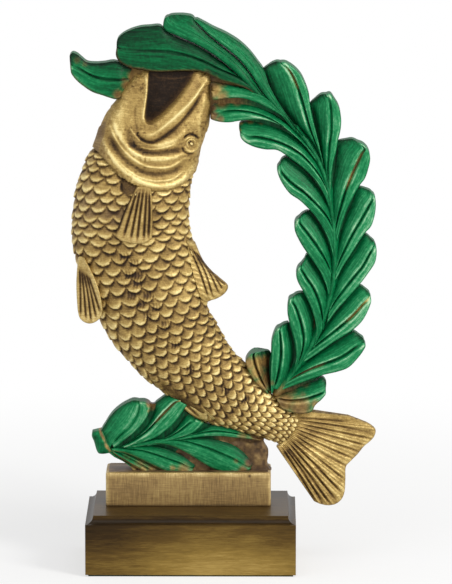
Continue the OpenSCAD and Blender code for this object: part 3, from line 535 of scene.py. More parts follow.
SHORT_LEAVES = {
    "A": dict(
        near=[(109, 448), (104.5, 439), (101.5, 430), (106, 421), (112, 412), (120, 404.5), (128, 399.7),
            (134, 397.4)],
        rib=[(112, 444), (120, 435.5), (128, 428), (134.5, 420), (138, 412), (139, 405)],
        far=[(114, 447), (126, 438), (137, 429), (145, 419), (149.5, 410), (150.5, 403), (146, 398.8)],
        spots=[(150, 404, 4.5, 1.0), (149, 411, 3, 0.6)], groove=0.8, crest=7.2, valley=5.0, shade=0.1,
            line=0.35),
    "B": dict(
        near=[(118, 447), (131, 438), (142, 429), (150, 419), (154, 409), (155, 402), (161, 396.5),
            (168, 392.5)],
        rib=[(122, 447), (136, 438), (148, 429), (157, 420), (166, 411), (175, 402), (181, 397)],
        far=[(126, 447), (142, 442), (156, 436.5), (167, 429), (176, 420), (183, 410), (187, 402)],
        rust=(0.55, 0.95), shade=0.03, line=1.2),
    "C": dict(
        near=[(128, 446), (146, 442), (161, 437), (173, 429), (182, 418), (188, 411)],
        rib=[(130, 446), (150, 442.5), (168, 437), (180, 430), (188, 424), (195, 417)],
        far=[(134, 447), (155, 443), (175, 438), (190, 433.5), (198, 428), (204, 420)],
        spots=[(178, 418, 4.5, 0.9), (184, 411, 5, 0.9), (203, 421, 3, 0.5)], valley=3.6, shade=0.0,
            line=0.6),
    "D": dict(
        near=[(140, 445), (160, 440), (180, 435), (195, 430.5), (205, 425.5), (213, 422), (226, 424),
            (240, 428.5), (252, 433)],
        rib=[(145, 445), (170, 438.5), (195, 433.5), (212, 431), (228, 432), (245, 435)],
        far=[(148, 446), (175, 441), (200, 436.5), (218, 435.5), (235, 437), (250, 438.5), (262, 439)],
        crest=6.2, valley=4.6, rim=4.2, spots=[(258, 437, 9, 1.0), (243, 437, 7, 0.7)], shade=0.0, groove=1.0,
            line=0.6),
    "E": dict(
        near=[(124, 447), (145, 442.5), (165, 438), (185, 435.5), (203, 434.8), (218, 437), (231, 441),
            (242, 448), (250, 457), (253.5, 463)],
        rib=[(128, 446), (150, 441), (168, 438.8), (184, 440.5), (199, 444.7), (214, 450.3), (228, 456.5),
            (241, 462)],
        far=[(124, 448.5), (145, 444.5), (162, 443.5), (176, 447), (189, 453.5), (201, 461), (213, 468),
            (226, 471.5), (240, 471.5), (249, 470)],
        spots=[(249, 463, 5, 0.95), (243, 470, 5, 0.9), (236, 461, 3, 0.6)], groove=1.3, valley=5.2, rim=5.0,
            shade=-0.02, edge_bare=0.35, line=0.4, soft=0.7),
    "F": dict(
        near=[(111, 447), (125, 444), (140, 442.3), (154, 442.6), (167, 445.5), (179, 450.5), (189, 457),
            (195, 463)],
        rib=[(112, 449), (126, 448.3), (141, 450), (156, 454.3), (171, 459.6), (184, 464)],
        far=[(112, 450.5), (125, 452.5), (137, 457), (149, 462.7), (160, 468), (170, 472), (182, 473),
            (192, 471.5)],
        spots=[(184, 470, 8, 0.8), (173, 468, 4, 0.7)], groove=1.3, valley=4.8, rim=5.0, shade=0.0,
            edge_bare=0.5, line=0.4, soft=0.7),
    "G1": dict(
        near=[(111, 448.5), (124, 452.5), (138, 458.5), (150, 464.5), (162, 471)],
        rib=[(111, 450), (123, 455.5), (135, 461.5), (146, 467.5), (152, 471.5)],
        far=[(111.5, 451.5), (121, 457.5), (132, 464), (142, 470), (146, 473)],
        spots=[(141, 463, 9, 0.6), (153, 469, 8, 0.8), (127, 457, 7, 0.4), (143, 470, 6, 0.8)], groove=1.0,
            crest=6.6, valley=4.8, rim=5.0, shade=0.03, edge_bare=0.8, line=0.3, soft=0.1, near_front=True,
            wall_bare=0.9, wall_tone=0.6),
    "G2": dict(
        near=[(110.5, 450.5), (119, 457), (129, 463), (137, 468.5)],
        rib=[(110, 451.5), (118, 457.5), (127, 463), (134, 469)],
        far=[(109, 452.5), (115, 456.5), (123, 460.5), (129, 464.5), (136, 471)],
        spots=[(124, 460, 7, 0.5), (134, 468, 6, 0.8)], groove=0.4, crest=6.2, valley=4.8, rim=4.8, shade=0.0,
            line=0.3, edge_bare=0.6, soft=0.1, near_front=True, wall_bare=0.9, wall_tone=0.6),
}


# The fish, as belly point, back point and thickness at stations from the jaws to the tail, in shares of
# FIGURE_H and FISH_T
FISH_T = 30.0
FISH = np.array([
    [-0.105, 0.875, 0.030, 0.875, 0.44], [-0.130, 0.845, 0.040, 0.850, 0.53],
    [-0.160, 0.810, 0.043, 0.815, 0.66], [-0.179, 0.790, 0.042, 0.785, 0.73],
    [-0.192, 0.768, 0.039, 0.760, 0.80], [-0.201, 0.746, 0.031, 0.735, 0.86],
    [-0.208, 0.724, 0.022, 0.710, 0.90], [-0.217, 0.700, 0.016, 0.688, 0.93],
    [-0.228, 0.678, 0.008, 0.663, 0.94], [-0.240, 0.647, 0.001, 0.637, 0.97],
    [-0.249, 0.615, -0.003, 0.611, 1], [-0.254, 0.582, -0.005, 0.582, 1], [-0.257, 0.549, -0.006, 0.554, 1],
    [-0.258, 0.521, -0.003, 0.529, 1], [-0.255, 0.489, 0.004, 0.505, 1], [-0.248, 0.458, 0.010, 0.474, 1],
    [-0.239, 0.424, 0.016, 0.444, 1], [-0.228, 0.387, 0.024, 0.411, 1], [-0.211, 0.352, 0.033, 0.379, 0.97],
    [-0.192, 0.317, 0.045, 0.348, 0.93], [-0.173, 0.283, 0.058, 0.324, 0.90],
    [-0.153, 0.257, 0.073, 0.295, 0.87], [-0.131, 0.233, 0.087, 0.271, 0.83],
    [-0.106, 0.204, 0.104, 0.251, 0.80], [-0.079, 0.184, 0.122, 0.228, 0.77],
    [-0.051, 0.161, 0.142, 0.204, 0.73], [-0.024, 0.140, 0.163, 0.180, 0.68],
    [0.006, 0.119, 0.179, 0.161, 0.63], [0.043, 0.098, 0.191, 0.147, 0.57],
    [0.081, 0.085, 0.203, 0.139, 0.50], [0.126, 0.075, 0.217, 0.130, 0.43],
    [0.171, 0.063, 0.232, 0.124, 0.35], [0.200, 0.052, 0.242, 0.114, 0.33]])
# How far the points of a section are drawn toward its belly and back
RING_PULL = math.radians(7)
# The lattice of the scales: columns around the trunk, the station of its first row, its pitch in stations
SCALE_COLUMNS = 18
SCALE_FIRST = 11.9
SCALE_PITCH = 0.63
# How far a scale lifts in mm, and its arc's half-width in columns and height in rows
SCALE_LIFT = 1.35
SCALE_HALF = 0.54
SCALE_ARC = 1.1
# How far the body's stations lean from square to its axis, as a share, so that the scales face the tail
LEAN = ([14, 20, 25, 28, 30, 32], [0, 0.16, 0.44, 0.53, 0.33, 0])
GILL_EDGE = [(74, 142), (86, 144.5), (95, 148), (102, 155.5), (111.5, 166), (125, 178.5), (139, 186.3),
    (154, 190), (168, 189.5), (182, 184), (191, 175), (199, 164), (212, 150)]


class Body:
    """The smooth trunk under the scales, as a table along its length and around each section."""

    def __init__(self, columns):
        # Each station's number rides along with its row, too small to bend the curve
        numbered = np.concatenate([FISH, np.arange(len(FISH))[:, None] * 1e-4], 1)
        rows = smooth_line(numbered, 700)
        self.station = rows[:, 5] * 1e4
        self.phase = np.arange(columns) / columns
        self.angle = (2 * self.phase - 0.5) * math.pi
        turn = self.angle + RING_PULL * np.sin(2 * self.angle)
        belly = rows[:, 0:2] * FIGURE_H
        back = rows[:, 2:4] * FIGURE_H
        middle, half = (belly + back) / 2, (back - belly) / 2
        self.points = np.stack([middle[:, :1] + half[:, :1] * np.cos(turn),
                                MID_Y - FISH_T / 2 * rows[:, 4:5] * np.sin(turn),
                                PLINTH_TOP + middle[:, 1:] + half[:, 1:] * np.cos(turn)], -1)
        self.across = np.linalg.norm(half, axis=1)[:, None] * np.cos(turn)
        self.girth = np.linalg.norm(self.points - np.roll(self.points, 1, 1), axis=2).sum(1)
        front = self.points[:, columns // 2]
        self.run = np.concatenate([[0], np.cumsum(np.linalg.norm(np.diff(front, axis=0), axis=1))])

    def at(self, run):
        """Points and their arc from the front mid-line, for a table of run lengths per column."""
        out = np.empty(run.shape + (3,))
        for c in range(run.shape[1]):
            for a in range(3):
                out[:, c, a] = np.interp(run[:, c], self.run, self.points[:, c, a])
        arc = (0.5 - self.phase)[None, :] * np.interp(run, self.run, self.girth)
        return out, arc

    def cut(self, line):
        """The run length at which each column passes a line of the photograph, the rear mirrored."""
        screen = on_screen(to_front(self.points[::2]))
        _, side, _ = distance(screen, smooth_line(line, 60))
        past = side < 0
        first = np.argmax(past, axis=0)
        return self.run[::2][first]


def to_front(points):
    """The points with those of the rear mirrored to the front."""
    out = points.copy()
    out[..., 1] = MID_Y - np.abs(points[..., 1] - MID_Y)
    return out


def outward(points):
    """Unit normals of a tube of rings, turned away from its middle."""
    n = np.cross(np.gradient(points, axis=0), np.roll(points, -1, 1) - np.roll(points, 1, 1))
    n = n / np.maximum(np.linalg.norm(n, axis=-1, keepdims=True), 1e-9)
    return n * np.sign(((points - points.mean(1, keepdims=True)) * n).sum(-1, keepdims=True))


def marks(screen, lines):
    """Height and relief of drawn ridges and grooves: lines of the photograph, width in pixels, mm, relief."""
    height = np.zeros(screen.shape[:-1])
    relief = np.zeros(screen.shape[:-1])
    for points, width, rise, paint in lines:
        line = smooth_line(points, max(12, 3 * len(points)))
        low, high = line.min(0) - 3 * width, line.max(0) + 3 * width
        near = ((screen > low) & (screen < high)).all(-1)
        if not near.any():
            continue
        d, _, place = distance(screen[near], line)
        fade = step(0, 0.12, place) * (1 - step(0.88, 1, place)) if width < 9 else 1
        w = bell(d, width) * (0.25 + 0.75 * fade)
        height[near] += rise * w
        relief[near] += paint * w * (1 if paint > 0 else 0.8)
    return height, relief


def inside(screen, line):
    """Whether points of the photograph lie inside a closed line."""
    x, y = screen[..., 0], screen[..., 1]
    hit = np.zeros(x.shape, bool)
    for k in range(len(line)):
        (ax, ay), (bx, by) = line[k - 1], line[k]
        if ay != by:
            hit ^= ((y > ay) != (y > by)) & (x < (bx - ax) * (y - ay) / (by - ay) + ax)
    return hit


# Drawn ridges and grooves of the head, each a line, its width in pixels, its height in mm and its relief
HEAD_LINES = [
    ([(142, 76), (132, 85), (121, 98)], 7.0, 2.2, 0.0),
    ([(204, 74), (210, 84)], 5.0, 1.6, 0.1),
    ([(112, 106), (105, 116), (100, 128)], 6.0, -0.8, -0.04),
    ([(206, 130), (202, 146), (199, 162)], 5.0, -0.9, 0.0),
    ([(204, 98), (200, 112), (196, 126)], 6.0, 0.0, 0.1),
    ([(103, 138), (108, 149), (117, 163), (129, 174.5), (141, 182), (158, 186), (174, 183.5), (184, 176),
        (190, 167)], 2.2, 0.75, 0.36),
    ([(118, 160), (128, 170), (140, 177.5), (157, 181), (172, 178.5), (183, 170)], 0.8, 0.3, 0.26),
    ([(109, 132), (112, 141), (119, 153), (129, 163), (142, 171.5), (158, 174), (172, 171.5), (184, 163)],
        2.6, -0.8, -0.46),
    ([(111, 126), (114, 134), (121, 146), (131, 157), (144, 165), (158, 167.5), (170, 166), (184, 158)],
        1.1, 0.45, 0.32),
    ([(114, 118), (117, 130), (124, 142), (133, 152), (144, 158.5), (158, 159), (172, 157.5), (185, 153)],
        2.2, 0.6, 0.34),
    ([(131, 143), (140, 150), (152, 152.5), (168, 152), (182, 149)], 2.8, -0.6, -0.44),
    ([(127, 146), (136, 154), (148, 157), (166, 156.5)], 0.8, 0.2, 0.24),
    ([(140, 147), (150, 149), (164, 147.5), (176, 143.5)], 0.8, 0.2, 0.24),
    ([(128, 128), (129, 138), (133, 148)], 3.6, -0.3, -0.28),
    ([(155, 146.5), (166, 143.5), (176, 139), (186, 130)], 2.6, 0.55, 0.3),
    ([(136.5, 132), (139, 137.5), (145, 141.5), (152, 142.5), (160, 139.5), (172, 131), (184, 119.5),
        (196, 104), (203, 92)], 1.8, -1.0, -0.6),
    ([(206, 78), (199, 91), (189, 104), (177, 116), (164, 127), (153, 134.5), (146, 135.5), (141, 131.5)],
        2.4, 0.9, 0.3),
    ([(204, 82), (196, 95), (185, 107.5), (172, 119.5), (158, 131.5)], 0.8, 0.3, 0.2),
    ([(146, 74), (147, 90), (145, 106), (143.5, 118), (146, 125)], 1.6, 0.5, 0.28),
    ([(136, 106), (134.6, 114), (135.5, 124), (138.5, 131)], 1.3, -0.3, -0.22),
    ([(127, 96), (122, 108), (120, 120), (124, 134), (132, 144)], 4.2, 0.35, 0.16),
    ([(129, 126), (134, 134), (140, 140.5), (148, 144.3), (158, 145.5)], 0.8, 0.35, 0.3),
    ([(206, 92), (203, 104), (200, 116), (199, 128), (200, 140)], 2.2, 0.3, 0.16),
    ([(138.5, 132), (137.2, 134.5), (138.8, 136.6)], 0.7, -0.5, -0.5),
    ([(183.5, 138.5), (187, 135.2), (191, 134.2), (195, 135.3), (198.5, 138.3)], 0.9, -0.8, -0.75),
    ([(182, 147), (184, 151.5), (188.5, 153.6), (192, 152.8)], 0.9, -0.5, -0.55),
    ([(184, 141), (187.5, 137.6), (192, 136.9), (196, 139)], 1.0, 0.75, 0.3),
    ([(184.3, 146), (186.5, 150), (190.5, 151.3), (194.5, 149)], 1.2, 0.6, 0.28),
    ([(197, 142), (197.3, 146), (195.6, 149.3)], 1.2, 0.5, 0.2),
    ([(176, 190.5), (160, 193), (148, 192)], 1.2, -0.3, -0.4),
]
MOUTH_LEFT = [(148, 66), (147.6, 80), (147, 92), (145.3, 106), (144.3, 117), (145.2, 122.5), (147.5, 126)]
MOUTH_RIGHT = [(147.5, 126), (153, 125.2), (161, 119.5), (171, 110.5), (181, 99.5), (190, 87), (197, 74),
    (200, 66)]
MOUTH_GLOW = [(150, 73), (158, 78), (170, 79.5), (183, 78.5), (196, 75)]
MOUTH_HALF = 3.0


def fish_head(material):
    """Gill covers, jaws and the open mouth, from the jaws to the edge of the gill covers."""
    body = Body(360)
    end = body.cut(GILL_EDGE)
    share = np.linspace(0, 1, 228)[:, None]
    run = share * end[None, :]
    points, arc = body.at(run)
    n = outward(points)
    screen = on_screen(to_front(points))
    height, relief = marks(screen, HEAD_LINES)
    to_edge = (1 - share) * end[None, :]
    rim = rounded(to_edge, 1.8)
    height = height + 1.15 * (1 - step(12, 34, to_edge)) * rim * (0.1 + 0.9 * step(96, 114, screen[..., 0]))
    height = height + 0.16 * noise(points, 5.0, 21) + 0.07 * noise(points, 1.7, 22)
    pits = step(0.34, 0.66, noise(points, 1.15, 23)) * step(0.0, 0.45, noise(points, 9.0, 24))
    height = height - 0.14 * pits
    moved = points + n * height[..., None]

    # The open mouth sinks to a thin web in the middle plane
    left, right = smooth_line(MOUTH_LEFT, 30), smooth_line(MOUTH_RIGHT, 40)
    pocket = inside(screen, list(map(tuple, left)) + list(map(tuple, right[1:])))
    d_left, d_right = distance(screen, left)[0], distance(screen, right)[0]
    sink = np.where(pocket, step(0, 1.8, d_left) * step(0, 10.0, d_right) ** 0.7, 0)
    side = np.sign(points[..., 1] - MID_Y)
    depth = np.abs(moved[..., 1] - MID_Y)
    deep = np.minimum(depth, MOUTH_HALF + 0.35 * noise(points, 4.0, 25))
    moved[..., 1] = MID_Y + side * (depth * (1 - sink) + deep * sink)

    relief = 0.62 + relief + 0.12 * noise(points, 6.0, 26) - 0.2 * pits
    # A painted highlight on the cheek
    relief = relief + 0.07 * bell(np.hypot(screen[..., 0] - 121, (screen[..., 1] - 118) * 0.6), 12)
    # Inside the open mouth the relief drops to nearly black, with a painted highlight along its top
    relief = relief * (1 - sink) + 0.02 * sink
    relief = relief + marks(screen, [(MOUTH_GLOW, 1.0, 0, 0.16)])[1] * sink
    bare = 0.5 * step(14, 3, screen[..., 0] - 90 - 0.16 * screen[..., 1] + 14)
    bare = bare + 0.25 * (noise(points, 7.0, 27) > 0.45)
    bare = np.maximum(bare, 0.55 * step(0.1, 0.6, noise(points, 5.0, 28)) * bell(screen[..., 0] - 132, 7)
                      * bell(screen[..., 1] - 140, 15))
    bare = np.where(sink > 0.5, 1.0, bare)
    value = np.stack([relief, bare, run, arc], -1)
    tucked = [moved[-1] - n[-1] * inward for inward in (0.5, 1.4, 4.0)]
    tucks = [value[-1] * np.array([0, 0, 1, 1]) + np.array([t, 0.5, 0, 0]) for t in (0.35, 0.1, 0.05)]
    shape = Shape()
    shape.tube(np.concatenate([moved, np.stack(tucked)]), np.concatenate([value, np.stack(tucks)]))
    return shape.make("fish_head", material)


# Where the pores of the lateral line stand, in threes, and what else is drawn on the trunk
LINE_PORES = [(124, 257), (134, 263), (129, 275), (138, 276), (137, 284), (131, 296), (147, 296), (140, 305),
    (156, 307), (147, 317), (165, 325), (175, 345), (190, 370), (225, 390), (245, 400)]
BELLY_STRIP = [(158, 381), (170, 391), (184, 401), (200, 412), (212, 419)]
GILL_CREASE = [(124.5, 177), (121.5, 183), (121, 189), (122.5, 193)]
SLIM_BACK = [([(206, 300), (213, 314), (221, 331), (232, 346), (243, 362)], 7.0, -1.0, 0),
             ([(208, 303), (213, 314)], 6.0, -0.4, 0)]
JITTER_ROWS = 140


def fish_trunk(material):
    """The scaled body, from under the gill covers to the root of the tail."""
    body = Body(264)
    start = body.cut(GILL_EDGE) - 7
    share = np.linspace(0, 1, 372)[:, None]
    run = start[None, :] + share * (body.run[-1] - start[None, :])
    points, arc = body.at(run)
    n = outward(points)
    screen = on_screen(to_front(points))

    # Where each point lies in the lattice of the scales, in rows and columns
    station = np.interp(run, body.run, body.station)
    pitch = SCALE_PITCH * np.interp(run, body.run, np.gradient(body.run, body.station))
    width = np.interp(run, body.run, body.girth) / SCALE_COLUMNS
    uneven, jumbled = 1 + 1.3 * step(180, 260, run), step(215, 270, run)
    row = (station - SCALE_FIRST) / SCALE_PITCH + 0.16 * uneven * noise(points, 16.0, 31)
    lean = np.empty(run.shape)
    for c in range(run.shape[1]):
        lean[:, c] = np.interp(run[:, c], body.run, body.across[:, c] * np.interp(body.station, *LEAN))
    row = row + lean / pitch + 0.6 * jumbled * noise(points, 5.5, 37)
    column = (body.angle * SCALE_COLUMNS / (2 * math.pi))[None, :] + 0.12 * uneven * noise(points, 13.0, 32)
    column = column + 0.32 * jumbled * noise(points, 6.0, 38)

    # The uppermost scale over each point, how far its edge is, and how far the next edge above is
    jitter = np.random.RandomState(7).rand(JITTER_ROWS, SCALE_COLUMNS, 4) - 0.5
    won = np.zeros(row.shape, bool)
    edge_gap, past = np.full(row.shape, 9.0), np.full(row.shape, 9.0)
    lift, offset, past_offset = np.zeros(row.shape), np.zeros(row.shape), np.zeros(row.shape)
    lowest = np.floor(row).astype(int) - 4
    for k in range(7):
        i = lowest + k
        shift = 0.5 * (i & 1)
        j = np.round(column - shift)
        d = column - shift - j
        cell = jitter[i % JITTER_ROWS, j.astype(int) % SCALE_COLUMNS]
        reach = i + 2.0 + 0.4 * cell[..., 0] + (0.12 + 0.4 * cell[..., 1]) * d
        edge = reach - SCALE_ARC * (1 - np.sqrt(np.maximum(1 - (d / SCALE_HALF) ** 2, 0)))
        gap = (edge - row) * pitch
        here = (gap > 0) & ~won
        edge_gap = np.where(here, gap, edge_gap)
        lift = np.where(here, 1 + 0.5 * cell[..., 2], lift)
        offset = np.where(here, d, offset)
        nearer = ~won & ~here & (-gap < past)
        past = np.where(nearer, -gap, past)
        past_offset = np.where(nearer, d, past_offset)
        won |= here

    # Each scale climbs toward its edge, over a shadowed step down to the next
    tall = SCALE_LIFT * np.interp(run, [0, 200, 300, 330], [1, 1, 0.9, 0.75])
    side_gap = (0.53 - np.abs(offset)) * width
    dome = 1 - 0.6 * np.abs(2 * offset) ** 2.4
    climb = np.clip(1 - edge_gap / (2.3 * pitch), 0, 1) ** 1.3
    height = tall * lift * climb * dome * (0.5 + 0.5 * rounded(edge_gap, 1.0)) - 0.5
    shadow = bell(past - 0.35, 1.0 + 0.35 * (pitch > 4.6)) * (1 - 0.75 * np.abs(2 * past_offset) ** 2.6)
    height = np.minimum(height - 0.4 * shadow * (tall / SCALE_LIFT), 0.68)
    relief = 0.55 + 0.2 * bell(edge_gap - 1.1, 1.6) * dome + 0.2 * bell(edge_gap - 0.8, 0.7) * dome
    relief = relief + 0.3 * dome * (lift - 0.9) * bell(edge_gap - 2, 2.5) - 0.05 * step(3, 9, edge_gap)
    relief = relief - 0.46 * shadow - 0.04 * (1 - step(0, 1.0, side_gap))

    # What breaks the scales: a smooth spot behind the gill, the strip over the anal fin, the lateral line
    smooth_spot = 1 - step(0.75, 1.1, np.hypot((screen[..., 0] - 129) / 8.5, (screen[..., 1] - 187) / 9.5))
    strip, _ = marks(screen, [(BELLY_STRIP, 4.0, 1, 0)])
    plain = np.clip(np.maximum(smooth_spot, strip * (points[..., 2] < 112)), 0, 1)
    height = height * (1 - plain)
    relief = relief * (1 - plain) + 0.3 * plain
    pores, dark = marks(screen, [([(x + a, y - 4.2), (x + a + 0.9, y), (x + a - 0.4, y + 4.2)],
                                  0.9, -0.5, -0.42) for x, y in LINE_PORES for a in (-3.2, -0.2, 2.8)])
    along_line, _ = marks(screen, [([(x, y - 2), (x, y + 2)], 5.5, 1, 0) for x, y in LINE_PORES])
    crease, tone = marks(screen, [(GILL_CREASE, 1.2, -0.9, -0.5)])
    height = height + pores + crease + marks(screen, SLIM_BACK)[0]
    relief = relief + dark + tone
    height = height + 0.16 * noise(points, 3.1, 33) + 0.08 * noise(points, 1.5, 34)
    lumps = noise(points, 19.0, 35)
    relief = relief + 0.12 * lumps + 0.07 * noise(points, 4.0, 36)

    # Brown along the belly, on the side the light falls off, is painted shade; undercoat shows in a patch
    # under
    # # the gill and along the lateral line
    belly = np.interp(screen[..., 1], [150, 250, 330, 420], [98, 80, 92, 170])
    patch = bell(np.hypot((screen[..., 0] - 110) / 1.2, screen[..., 1] - 216), 17)
    bare = 0.6 * step(22, -6, screen[..., 0] - belly) + 0.55 * patch + 0.6 * smooth_spot
    bare = bare + 0.25 * step(-0.1, -0.5, lumps)
    bare = np.clip(np.maximum(bare, 0.75 * np.minimum(along_line, 1)), 0, 1)
    bare = bare * (1 - 0.5 * bell(edge_gap - 1.1, 1.3))
    under = 1 - step(6.0, 10.5, run - start[None, :])
    height = height * (1 - under) - 1.3 * under
    moved = points + n * height[..., None]
    value = np.stack([relief, bare, run, arc], -1)
    ends = [moved[0] - n[0] * inward for inward in (5.0, 2.0)]
    shape = Shape()
    shape.tube(np.concatenate([np.stack(ends), moved]), np.concatenate([np.stack([value[0]] * 2), value]))
    return shape.make("fish_trunk", material)


# The depths at which pectoral fins and eyes were read off the photograph
FLANK_Y = -9.0
EYE_Y = -6.0


def flank(body, x, z):
    """How far in front of the middle plane the smooth trunk lies, at the named x and z."""
    grid = body.points[::4, ::3].reshape(-1, 3)
    grid = grid[grid[:, 1] < MID_Y]
    wanted = np.stack([x.ravel(), z.ravel()], -1)
    out = np.empty(x.size)
    for a in range(0, len(wanted), 2000):
        d2 = ((wanted[a:a + 2000, None] - grid[None, :, [0, 2]]) ** 2).sum(-1)
        near = np.argpartition(d2, 6, axis=1)[:, :6]
        weight = 1 / (np.take_along_axis(d2, near, 1) + 0.2)
        out[a:a + 2000] = ((MID_Y - grid[near, 1]) * weight).sum(1) / weight.sum(1)
    return out.reshape(x.shape)


def fan(shape, root, edge, grooves, height, over=None, thick=None, sides=None, rows=70, columns=110,
        groove_w=1.0, groove_d=0.8, deep=99, rays=0, rim=1.4, seed=1, tone=0.6, bare=0.1, depth=0.38):
    """A fin from its root line to its outer edge, with grooves between its rays.

    Height is measured from the middle plane, or from the flank of the body that the fin lies over. A fin
    that is thick mm through stands on both sides of the fish, and any other is one skin across the middle
    plane. Sides bend its first and last ray by pixels, grooves after the first deep ones are shallower,
    rays counts the fine ridges, and depth is how dark the grooves are.
    """
    a, b = smooth_line(root, columns), smooth_line(edge, columns)
    u, v = np.linspace(0, 1, rows)[:, None], np.linspace(0, 1, columns)[None, :]
    flat = between(a, b, u[:, 0])
    if sides:
        bend = np.sin(np.pi * u)
        flat = flat + (bend * (1 - v))[..., None] * np.array(sides[0])
        flat = flat + (bend * v)[..., None] * np.array(sides[1])
    h0 = height(u, v) + np.zeros((rows, columns))
    if over:
        p = on_plane(flat, FLANK_Y)
        h0 = flank(over, p[..., 0], p[..., 2]) + h0
    cut, _ = marks(flat, [(line, groove_w, 1 if k < deep else 0.6, 1) for k, line in enumerate(grooves)])
    cut = np.clip(cut, 0, 1)
    to_edge = (1 - u) * np.linalg.norm(b - a, axis=1)[None, :] * MM_PER_PIXEL
    width = np.linalg.norm(np.diff(flat, axis=1), axis=2).sum(1)[:, None] * MM_PER_PIXEL
    to_side = np.minimum(v, 1 - v) * width
    soft = rounded(np.minimum(to_edge, to_side), rim)
    base = on_plane(flat, MID_Y - h0)
    fine = 0.5 + 0.5 * np.cos(2 * math.pi * rays * v) if rays else 0 * v
    h = h0 - groove_d * cut - (1 - soft) * np.minimum(rim, 0.6 * h0)
    h = h + 0.1 * noise(base, 2.2, 40 + seed) - 0.3 * fine
    front, rear = base.copy(), base.copy()
    front[..., 1] = MID_Y - h
    rear[..., 1] = MID_Y - (h0 - thick) if thick else 2 * MID_Y - front[..., 1]
    relief = tone + 0.2 * soft * (1 - cut) - depth * cut - 0.13 * fine + 0.12 * noise(base, 5.0, 41 + seed)
    value = np.stack([relief, bare + 0.15 * cut, base[..., 2], base[..., 0]], -1)
    shape.sheet(front, rear, value)
    if thick:
        for skin in (front, rear):
            skin[..., 1] = 2 * MID_Y - skin[..., 1]
        shape.sheet(front, rear, value)


# The grooves between the rays of each fin, from root to edge; the first five of the tail are the deep ones
PECTORAL = [[(134, 190), (124.5, 212), (117, 233)], [(137, 190), (130, 214), (123.5, 237)],
            [(140, 190), (135.5, 214), (130.5, 240)], [(143.3, 190), (140, 214), (137, 241)],
            [(146.5, 191), (145, 216), (143.5, 240)], [(149.2, 192), (149.2, 216), (148.2, 238)]]
PELVIC = [[(79.5, 268), (80.3, 292), (80.5, 316)], [(81.5, 270), (84, 294), (86, 320)],
          [(83.5, 272), (88, 296), (91, 322)], [(86, 273), (91.5, 296), (96, 318)],
          [(88.5, 276), (95, 296), (100, 312)]]
DORSAL = [[(188, 245), (199, 270), (208.5, 298)], [(191, 247), (204, 270), (213, 297)],
          [(195, 251), (209, 272), (219, 294)], [(198, 256), (213, 274), (223, 290)],
          [(202, 262), (215, 276), (226.5, 286)]]
TAIL = [[(282, 448), (300, 476), (316, 503)], [(284, 446), (304, 474), (323, 504)],
        [(286, 445), (309, 475), (330, 504)], [(288, 442), (314, 473), (337, 502)],
        [(290, 440), (318, 468), (342, 494)], [(292, 437), (320, 460), (344, 480)],
        [(293, 434), (321, 453), (347, 467)], [(294, 431.5), (323, 446), (352, 458)],
        [(295, 429), (326, 441), (358, 451)], [(296, 426.5), (330, 436.5), (364, 445)],
        [(297, 424), (333, 431), (370, 438.5)], [(297.5, 421), (330, 425), (372, 433)],
        [(298.5, 418), (320, 419.5), (346, 421.5)]]


def fins(material):
    """The fins, each a piece of its own, by the node that it replaces."""
    body = Body(240)
    guides = {
        "pectoral_fins": ("pectorals", dict(
            root=[(137, 187), (141, 186.5), (146, 187), (151, 188)],
            edge=[(115.7, 236), (118, 239), (122, 241.5), (128, 243), (136, 244), (144, 243.6), (150, 240.5),
                (152, 238)],
            grooves=PECTORAL, height=lambda u, v: 1.1 + 1.1 * step(0, 0.4, u) + 0.5 * u, over=body, thick=5.0,
            sides=((-2.2, 0), (1.0, 0)), rows=90, groove_w=1.25, groove_d=1.1, rim=1.1, seed=3, tone=0.52,
            bare=0.35)),
        "pelvic_fins": ("pelvics", dict(
            root=[(78, 258), (80, 257), (83, 258), (85, 260)],
            edge=[(77.5, 310), (79.5, 318), (84, 322.5), (90, 324), (96, 322), (101, 317), (102.5, 311)],
            grooves=PELVIC, height=lambda u, v: 7.5 + 4.5 * v + 3.5 * u * v, thick=4.6,
            sides=((-1.5, 0), (3.5, 0)), rows=80, groove_w=1.1, groove_d=0.9, rim=1.2, seed=4, bare=0.3)),
        "dorsal_fin": ("dorsal", dict(
            root=[(187, 240), (189, 256), (194, 277), (201, 299)],
            edge=[(195, 243), (203, 261), (212, 272), (220, 279), (228, 287), (225.5, 293), (218, 298.5),
                (211, 301), (204, 304)],
            grooves=DORSAL, height=lambda u, v: 7.6 - 4.8 * u, groove_w=0.85, rays=12, seed=5, tone=0.56,
            bare=0.25, depth=0.3)),
        "anal_fin": ("anal", dict(
            root=[(162, 380), (176, 388), (192, 399), (205, 409.5), (215, 418.5)],
            edge=[(162.5, 388), (172, 398.5), (185, 410.5), (197, 419), (207, 421.6), (216.5, 421.3)],
            grooves=[[(166, 388.5), (185, 404.5), (200, 417.5)], [(164, 384), (184, 398.5), (203, 413)]],
            height=lambda u, v: 8.0 - 3.6 * u, rows=30, groove_w=1.3, seed=6, tone=0.62, bare=0.15)),
        "tail_fin": ("tail", dict(
            root=[(276.5, 447.5), (283, 442.5), (287.5, 435), (290.5, 427), (293.5, 419), (297, 410.5)],
            edge=[(314, 502), (320, 504.5), (328, 506), (336, 504.5), (341.5, 500), (344.5, 493),
                (345.5, 480), (346.2, 467), (351, 461.5), (357.5, 455), (364, 447), (370, 442), (374.3, 437),
                (375.6, 430.5), (370, 425), (361, 421), (348, 416)],
            grooves=TAIL, height=lambda u, v: 3.6 + 2.0 * step(0, 0.12, u) - 3.0 * u, rows=120, columns=230,
            groove_w=1.15, groove_d=1.1, deep=5, rays=31, rim=1.6, seed=7, tone=0.57, depth=0.34)),
    }
    made = {}
    for node, (name, guide) in guides.items():
        shape = Shape()
        fan(shape, **guide)
        made[node] = shape.make(name, material)
    return made


